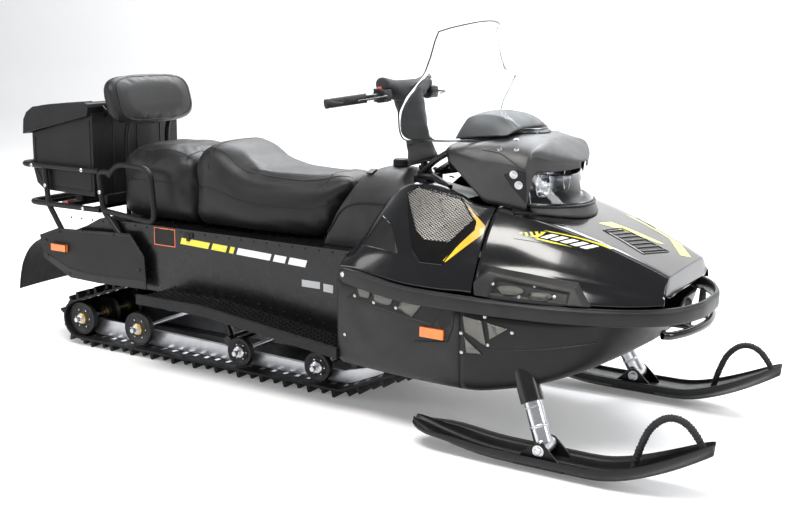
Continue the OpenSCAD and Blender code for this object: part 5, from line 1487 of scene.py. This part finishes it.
# ---------------------------------------------------------------- skis

def sole_z(x):
    return 62 * ((900 - x) / 328) ** 1.8 if x < 900 else 165 * ((x - 1230) / 388) ** 1.6 if x > 1230 else 0


def ski_half(x):
    return 75 * max(0.05, 1 - clamp((x - 1330) / 292) ** 2) ** 0.5 * max(0.12, 1 - clamp((720 - x) / 152) ** 2.4) ** 0.5


for name, sign in (("right", -1), ("left", 1)):
    body = "ski_" + name
    rows = []
    for x in [573, 576, 582, 594, 610, 630, 660, 700, 760, 830, 900, 980, 1062, 1150, 1230, 1270, 1310, 1350, 1390,
              1430, 1470, 1500, 1530, 1556, 1576, 1592, 1604, 1612, 1617]:
        h, z = ski_half(x), sole_z(x)
        k = h / 75
        rim = mix(30, 62, smooth((x - 572) / 200)) * mix(0.6, 1, k)
        outer = [(0, 0.4), (7 * k + 1, 0.4), (12 * k + 2, 8), (h * 0.5, 20), (h * 0.66, 24), (h * 0.8, 30),
                 (h - 6 * k, rim - 24 * k), (h - 1, rim - 6), (h, rim)]
        inner = [(h - 6 * k, rim + 0.2), (h - 9 * k, rim - 5), (h - 13 * k, rim - 16 * k),
                 (h * 0.7, 24 + 13 + 0.1 * rim), (h * 0.52, 36.5), (h * 0.3, 31 + 4), (h * 0.24, 25.5), (0, 24.5)]
        ring = [V(x, sign * 480 + a, z + b) for a, b in outer + inner]
        ring += [V(x, sign * 480 - a, z + b) for a, b in reversed(inner[:-1])] + [V(x, sign * 480 - a, z + b) for a,
                b in reversed(outer[1:])]
        rows.append(ring)
    skin("ski_blade_" + name, rows, SATIN, body, wall=0, nodes=[body], levels=1, closed=True,
         caps=True, core=(1060, sign * 480, 20))
    bits, steel = Build(), Build()
    for y in (-49, 49):
        bits.slab([(972, 20), (1152, 20), (1128, 58), (1092, 92), (1078, 104), (1062, 108), (1046, 104), (1032, 92),
                   (996, 58)],
                  sign * 480 + y - 5, sign * 480 + y + 5)
    bits.object("ski_ears_" + name, SATIN, body, slot="satin_black", bevel=2.0)
    for y in (-1, 1):
        steel.lathe([(0, 0), (19, 0), (19, 2), (12, 2.2), (12, 7), (10, 9), (0, 9)],
                    V(1062, sign * 480 + y * 54.2, 82), (0, y, 0), 6 if y * sign > 0 else 24)
        steel.lathe([(0, -0.5), (20, -0.5), (20, 2.4), (0, 2.4)], V(1062, sign * 480 + y * 54, 82), (0, y, 0), 32)
    steel.rod((1062, sign * 480 - 56, 82), (1062, sign * 480 + 56, 82), 8, 20)
    steel.object("ski_bolt_" + name, BRIGHT, body, slot="rail_metal")
    loop = Build()
    path = bend([V(1364, sign * 480, 42), V(1372, sign * 480, 96), V(1390, sign * 480, 158), V(1414, sign * 480, 212),
                 V(1452, sign * 480, 250),
                 V(1492, sign * 480, 260), V(1530, sign * 480, 246), V(1562, sign * 480, 212),
                 V(1590, sign * 480, 168)], 16)
    loop.tube(path, lambda t: 11 + 1.8 * (math.sin(t * 240) > 0.2) * (0.12 < t < 0.9) + 1.0 * (t < 0.1 or t > 0.93), 14)
    loop.object("ski_loop_" + name, GRIP, body, slot="satin_black")

# ---------------------------------------------------------------- steering

grip_dir = V(-115, 150, -24).normalized()
tilt = math.radians(17)
axis_up = V(-math.sin(tilt), 0, math.cos(tilt))
ORIGIN = V(245, 0, 1185)
bar, rubber, pods, levers, red = Build(), Build(), Build(), Build(), Build()
pole = ORIGIN + axis_up * 10
bar.rod(ORIGIN - axis_up * 560, pole, 14, 24)
for sign in (-1, 1):
    g = V(grip_dir.x, sign * grip_dir.y, grip_dir.z)
    b = V(245, sign * 230, 1179)
    end = b + g * 190
    bar.tube(round_corners([V(245, 0, 1185), b, b + g * 60], 26, 8) + [end], 11, 20)
    start = end - g * 150
    ring = []
    for k in range(13):
        h = 12 + 9.6 * k
        ring += [(16.6, h), (17.8, h + 2.4), (17.8, h + 5), (16.6, h + 7.4)]
    rubber.lathe([(11.5, 0), (17.9, 0), (17.9, 5), (16.4, 9)] + ring + [(16.5, 140), (17.6, 144), (17.8, 150),
            (17.4, 156), (12, 157.5), (0, 157.8)], start, g, 28)
    hook = bend([end - g * 6 + V(8, 0, 4), end - g * 2 + V(22, 0, 3), end - g * 12 + V(34, 0, 0),
                 end - g * 30 + V(36, 0, -2)], 6)
    rubber.tube(hook, lambda t: mix(9.5, 6, t), 12)
    pods.box((245, sign * 182, 1181), (46, 56, 44), Matrix.Rotation(-0.06 * sign, 3, "X"))
    pods.lathe([(0, -30), (24, -30), (26.5, -26), (26.5, 26), (24, 30), (0, 30)], (245, sign * 182, 1181), (0, 1, 0),
               32)
    pods.box((232, sign * 196, 1202), (26, 22, 8))
    pods.box((262, sign * 170, 1199), (14, 18, 8))
    lever = bend([V(262, sign * 200, 1184), V(284, sign * 226, 1182), V(268, sign * 262, 1176),
                  V(222, sign * 316, 1166)], 8)
    levers.tube(lever, lambda t: mix(7, 4.6, t), 10, squash=0.6)
red.lathe([(0, 0), (9, 0), (9, 6), (7, 9), (0, 9)], (232, -182, 1203), (0, 0, 1), 24)
bar.object("handlebar_tube", PAINT, "steering", ["handlebar"], "black_metal")
rubber.object("grip_sleeves", GRIP, "steering", ["grips"], "grip_rubber")
pods.object("control_blocks", SATIN, "steering", ["bar_controls"], "satin_black", bevel=2.5)
levers.object("brake_levers", PAINT, "steering", slot="black_metal")
red.object("stop_switch", PINK, "steering", slot="red_lens")

# padded cover: a wrapped hub, a roll along the bar and a folded stocking down the post
rows = []
for i, t in enumerate(steps(0, 1, 26)):
    h = mix(-274, 24, t)
    r = mix(60, 47, smooth(t / 0.3)) if t < 0.3 else mix(47, 59, smooth((t - 0.3) / 0.7))
    ring = []
    for k in range(40):
        a = 2 * math.pi * k / 40
        fold = 2.2 * math.sin(5 * a + 6 * t) * math.sin(math.pi * t) + 1.3 * math.sin(11 * t * math.pi + 2 * math.sin(a))
        rr = r + fold if 0 < i < 26 else r - 6
        side_v, other = V(math.cos(tilt), 0, math.sin(tilt)), V(0, 1, 0)
        ring.append(ORIGIN + axis_up * h + (side_v * math.cos(a) + other * math.sin(a)) * rr)
    rows.append(ring)
cover = skin("column_stocking", rows, COVER, "steering", wall=0, nodes=["column_cover"],
             closed=True, caps=True, levels=1, core=tuple(ORIGIN - axis_up * 100))
rows = []
for y in [-176, -174, -168, -150, -120, -80, -50, -25, 0, 25, 50, 80, 120, 150, 168, 174, 176]:
    r = mix(41, 29, smooth((abs(y) - 60) / 90)) - 5 * (abs(y) > 170) - 5 * (abs(y) > 175) + 1.2 * math.cos(y / 9)
    rows.append([ORIGIN + axis_up * (8 + 26 * smooth((abs(y) - 90) / 60)) + V(math.cos(a), 0,
            math.sin(a)) * (r + 1.3 * math.sin(3 * a + y / 30)) + V(0, y, 0)
                 for a in [2 * math.pi * k / 36 for k in range(36)]])
roll = skin("bar_pad", rows, COVER, "steering", wall=0, closed=True, caps=True, levels=1,
            core=tuple(ORIGIN))
hem = Build()
for h, r in ((-272, 60.5), (-196, 48.5)):
    hem.tube([ORIGIN + axis_up * h + (V(math.cos(tilt), 0, math.sin(tilt)) * math.cos(a) + V(0, 1, 0) * math.sin(a)) * r
              for a in [2 * math.pi * k / 40 for k in range(40)]], 2.6, 8, closed=True)
hem.tube([ORIGIN + axis_up * 8 + V(0, y, 0) + V(math.cos(2.0), 0, math.sin(2.0)) * 41 for y in steps(-128, 128, 20)],
         1.8, 8)
hem.object("cover_piping", GREY, "steering", slot="grey_fabric")

tubes = Build()
for sign in (-1, 1):
    tubes.tube(round_corners([V(342, sign * 62, 878), V(440, sign * 128, 950), V(512, sign * 150, 990)], 40, 8), 11.8,
               18)
    tubes.tube(round_corners([V(342, sign * 62, 878), V(470, sign * 190, 898), V(560, sign * 232, 872)], 40, 8), 11.8,
               18)
    for p in (V(342, sign * 62, 893), V(430, sign * 55, 652)):
        tubes.bolt(p, V(0, 0, 1), 8)
tubes.rod(ORIGIN - axis_up * 579, ORIGIN - axis_up * 281, 23.8, 32)
tubes.box((418, 0, 626), (80, 140, 48))
tubes.box((346, 0, 865), (56, 132, 29))
tubes.object("steering_tubes", PAINT, "chassis", ["steering_frame"], "black_metal", bevel=1.0)

# ---------------------------------------------------------------- legs: caps, clamps and boots over the CAD tubes

for name, sign in (("right", -1), ("left", 1)):
    d = V(-math.tan(math.radians(25.5)), -sign * math.tan(math.radians(14.5)), 1).normalized()
    foot = V(1062, sign * 480, 82)
    rings = Build()
    rings.lathe([(31.5, 0), (39.6, 0), (39.6, 10), (31.5, 10)], foot + d * 151, d, 40)
    rings.object("strut_seal_" + name, SATIN, "chassis", slot="satin_black")
    cast = Build()
    cast.lathe([(30.5, 0), (32.6, 3), (32.6, 9), (30.5, 12)], foot + d * 60, d, 40)
    cast.lathe([(30.5, 0), (32.2, 2), (32.2, 6), (30.5, 8)], foot + d * 128, d, 40)
    cast.lathe([(13, -40.5), (25.5, -40.5), (26.6, -37), (26.6, 37), (25.5, 40.5), (13, 40.5)], foot, V(0, 1, 0), 40)
    cast.object("leg_bands_" + name, RAIL, "ski_leg_" + name, slot="leg_metal")

# ---------------------------------------------------------------- trim on the tunnel, boards and rear

dots, stripes, white, labels, orange, dark = Build(), Build(), Build(), Build(), Build(), Build()
for sign in (-1, 1):
    y = sign * 269
    for x in range(-1280, 620, 62):
        dots.lathe([(0, 0), (5, 0), (4, 1.8), (0, 2.6)], V(x, y, 588), V(0, sign, 0), 12)
    for x in range(-700, 200, 62):
        dots.lathe([(0, 0), (5, 0), (4, 1.8), (0, 2.6)], V(x, y, lookup(x, [[-700, 352], [-420, 350], [214, 284]])),
                   V(0, sign, 0), 12)
    for a, b, tone in ((-671, -520, stripes), (-508, -430, stripes), (-418, -392, stripes), (-380, -212, white),
                       (-200, -140, white), (-128, -43, white)):
        z0, z1 = lookup(a, [[-671, 538], [-43, 514]]), lookup(b, [[-671, 538], [-43, 514]])
        h = lookup(a, [[-671, 26], [-43, 28]])
        tone.slab([(a + 6, z0), (b + 2, z1), (b + 12, z1 + h), (a + 16, z0 + h)], y + sign * 0.3, y + sign * 1.1)
    orange.slab([(-805, 519), (-691, 519), (-691, 594), (-805, 594)], y + sign * 0.3, y + sign * 0.9)
    labels.slab([(-56, 437), (28, 437), (28, 464), (-56, 464)], y + sign * 0.3, y + sign * 1.0)
    labels.slab([(44, 430), (88, 428), (88, 459), (44, 461)], y + sign * 0.3, y + sign * 1.0)
    dark.slab([(-801, 523), (-695, 523), (-695, 590), (-801, 590)], y + sign * 0.8, y + sign * 1.3)
    dark.box((-618, sign * 271, 578), (46, 6, 18))
    dark.box((-618, sign * 274, 570), (16, 5, 30))
dots.object("tunnel_rivets", MATTE, "chassis", slot="black_metal")
stripes.object("tunnel_stripes_yellow", LIME, "chassis", slot="amber_lens")
white.object("tunnel_stripes_white", WHITE, "chassis", slot="rail_metal")
labels.object("tunnel_labels", LABEL, "chassis", slot="rail_metal")
orange.object("tunnel_sticker", ORANGE, "chassis", slot="amber_lens")
dark.object("tunnel_latches", SATIN, "chassis", slot="satin_black")

teeth = Build()
for sign in (-1, 1):
    for i, x in enumerate(steps(-740, 196, 38)):
        z = lookup(x, [[-760, 330], [-420, 328], [214, 256]])
        for j in range(5):
            y = sign * (292 + 26 * j + 13 * (i % 2))
            teeth.lathe([(5.6, 0), (7.4, 1.2), (6.4, 5), (4.6, 5.4), (4.4, 0.4)], V(x, y, z), V(0.08, 0, 1), 10)
    edge = [V(x, sign * 431, lookup(x, [[-760, 342], [-420, 340], [214, 268]])) for x in steps(-758, 212, 30)]
    teeth.tube(edge, 5.5, 10, squash=0.7)
teeth.object("board_grip_studs", MATTE, "chassis", slot="black_metal")

for node, mat in (("tunnel", PAINT), ("running_boards", MATTE), ("engine", IRON), ("strut_tubes", PAINT),
                  ("slide_rails", RAIL),
                  ("drive_axle", IRON), ("skid_arms", PAINT), ("ski_leg_right", BRIGHT), ("ski_leg_left", BRIGHT),
                  ("tow_hitch", MATTE), ("tail_light", RED), ("side_reflectors", AMBER)):
    repaint(node, mat)
lamp = Build()
lamp.tube([V(-1541, y, z) for y, z in ((-70, 584), (70, 584), (70, 627), (-70, 627))], 2.4, 8, closed=True)
lamp.tube([V(-1541, 0, 585), V(-1541, 0, 626)], 1.6, 8)
lamp.object("tail_light_rim", SATIN, "chassis", slot="satin_black")
for sign, name in ((-1, "right"), (1, "left")):
    rim = Build()
    rim.tube([V(x, sign * 321, z) for x, z in ((-1363, 439), (-1271, 439), (-1271, 473), (-1363, 473))], 2.2, 8,
             closed=True)
    rim.object("reflector_rim_" + name, SATIN, "chassis", slot="satin_black")

# ---------------------------------------------------------------- floor, light and camera

mat, nodes, links, b = shader("floor_paint")
b.inputs["Base Color"].default_value = (0.86, 0.86, 0.86, 1)
b.inputs["Roughness"].default_value = 0.6
b.inputs["Emission Color"].default_value = (1, 1, 1, 1)
b.inputs["Emission Strength"].default_value = 0.16
me = bpy.data.meshes.new("floor")
profile = [(-9.0, 0.0), (3.2, 0.0), (5.2, 0.0), (6.0, 0.25), (6.5, 0.9), (6.7, 2.2), (6.7, 7.0)]
verts = [(x, y, z - 0.0005) for y, z in profile for x in (-16, 16)]
me.from_pydata(verts, [], [(2 * k, 2 * k + 1, 2 * k + 3, 2 * k + 2) for k in range(len(profile) - 1)])
floor = bpy.data.objects.new("floor", me)
me.materials.append(mat)
for p in me.polygons:
    p.use_smooth = True
scene.collection.objects.link(floor)

world = bpy.data.worlds.new("studio")
scene.world = world
world.use_nodes = True
back = world.node_tree.nodes["Background"]
back.inputs["Color"].default_value = (0.93, 0.95, 1.0, 1)
back.inputs["Strength"].default_value = 0.45


def area_light(name, at, to, size, power, colour=(1, 1, 1)):
    data = bpy.data.lights.new(name, "AREA")
    data.shape, data.size, data.size_y, data.energy, data.color = "RECTANGLE", size[0], size[1], power, colour
    ob = bpy.data.objects.new(name, data)
    ob.location = at
    ob.rotation_euler = (Vector(to) - Vector(at)).to_track_quat("-Z", "Y").to_euler()
    scene.collection.objects.link(ob)


area_light("key", (0.6, -2.6, 5.2), (0.2, 0, 0.4), (3.4, 1.6), 330, (1.0, 0.98, 0.95))
area_light("side", (-4.2, -3.8, 2.2), (-0.4, 0, 0.5), (1.6, 2.2), 60)
area_light("back", (-0.8, 3.6, 4.4), (0, 0, 0.6), (5.0, 1.4), 300, (0.95, 0.97, 1.0))
area_light("wall", (0, 2.2, 6.0), (0, 6.6, 2.0), (9.0, 1.4), 420)
area_light("front", (5.2, 0.6, 2.8), (0.8, 0, 0.6), (1.2, 1.6), 60)

turn, rise, roll = math.radians(29.73), math.radians(11.85), math.radians(0.93)
fwd = V(-math.sin(turn) * math.cos(rise), math.cos(turn) * math.cos(rise), -math.sin(rise))
right = V(math.cos(turn), math.sin(turn), 0)
up = right.cross(fwd)
right2 = right * math.cos(roll) + up * math.sin(roll)
up2 = up * math.cos(roll) - right * math.sin(roll)
cam = bpy.data.objects.new("camera", bpy.data.cameras.new("camera"))
cam.data.lens, cam.data.sensor_width = 50.82, 36
cam.data.clip_end = 60
cam.matrix_world = Matrix.Translation((2.389, -3.787, 1.443)) @ Matrix((right2, up2, -fwd)).transposed().to_4x4()
scene.collection.objects.link(cam)
scene.camera = cam
scene.view_settings.view_transform = "Standard"
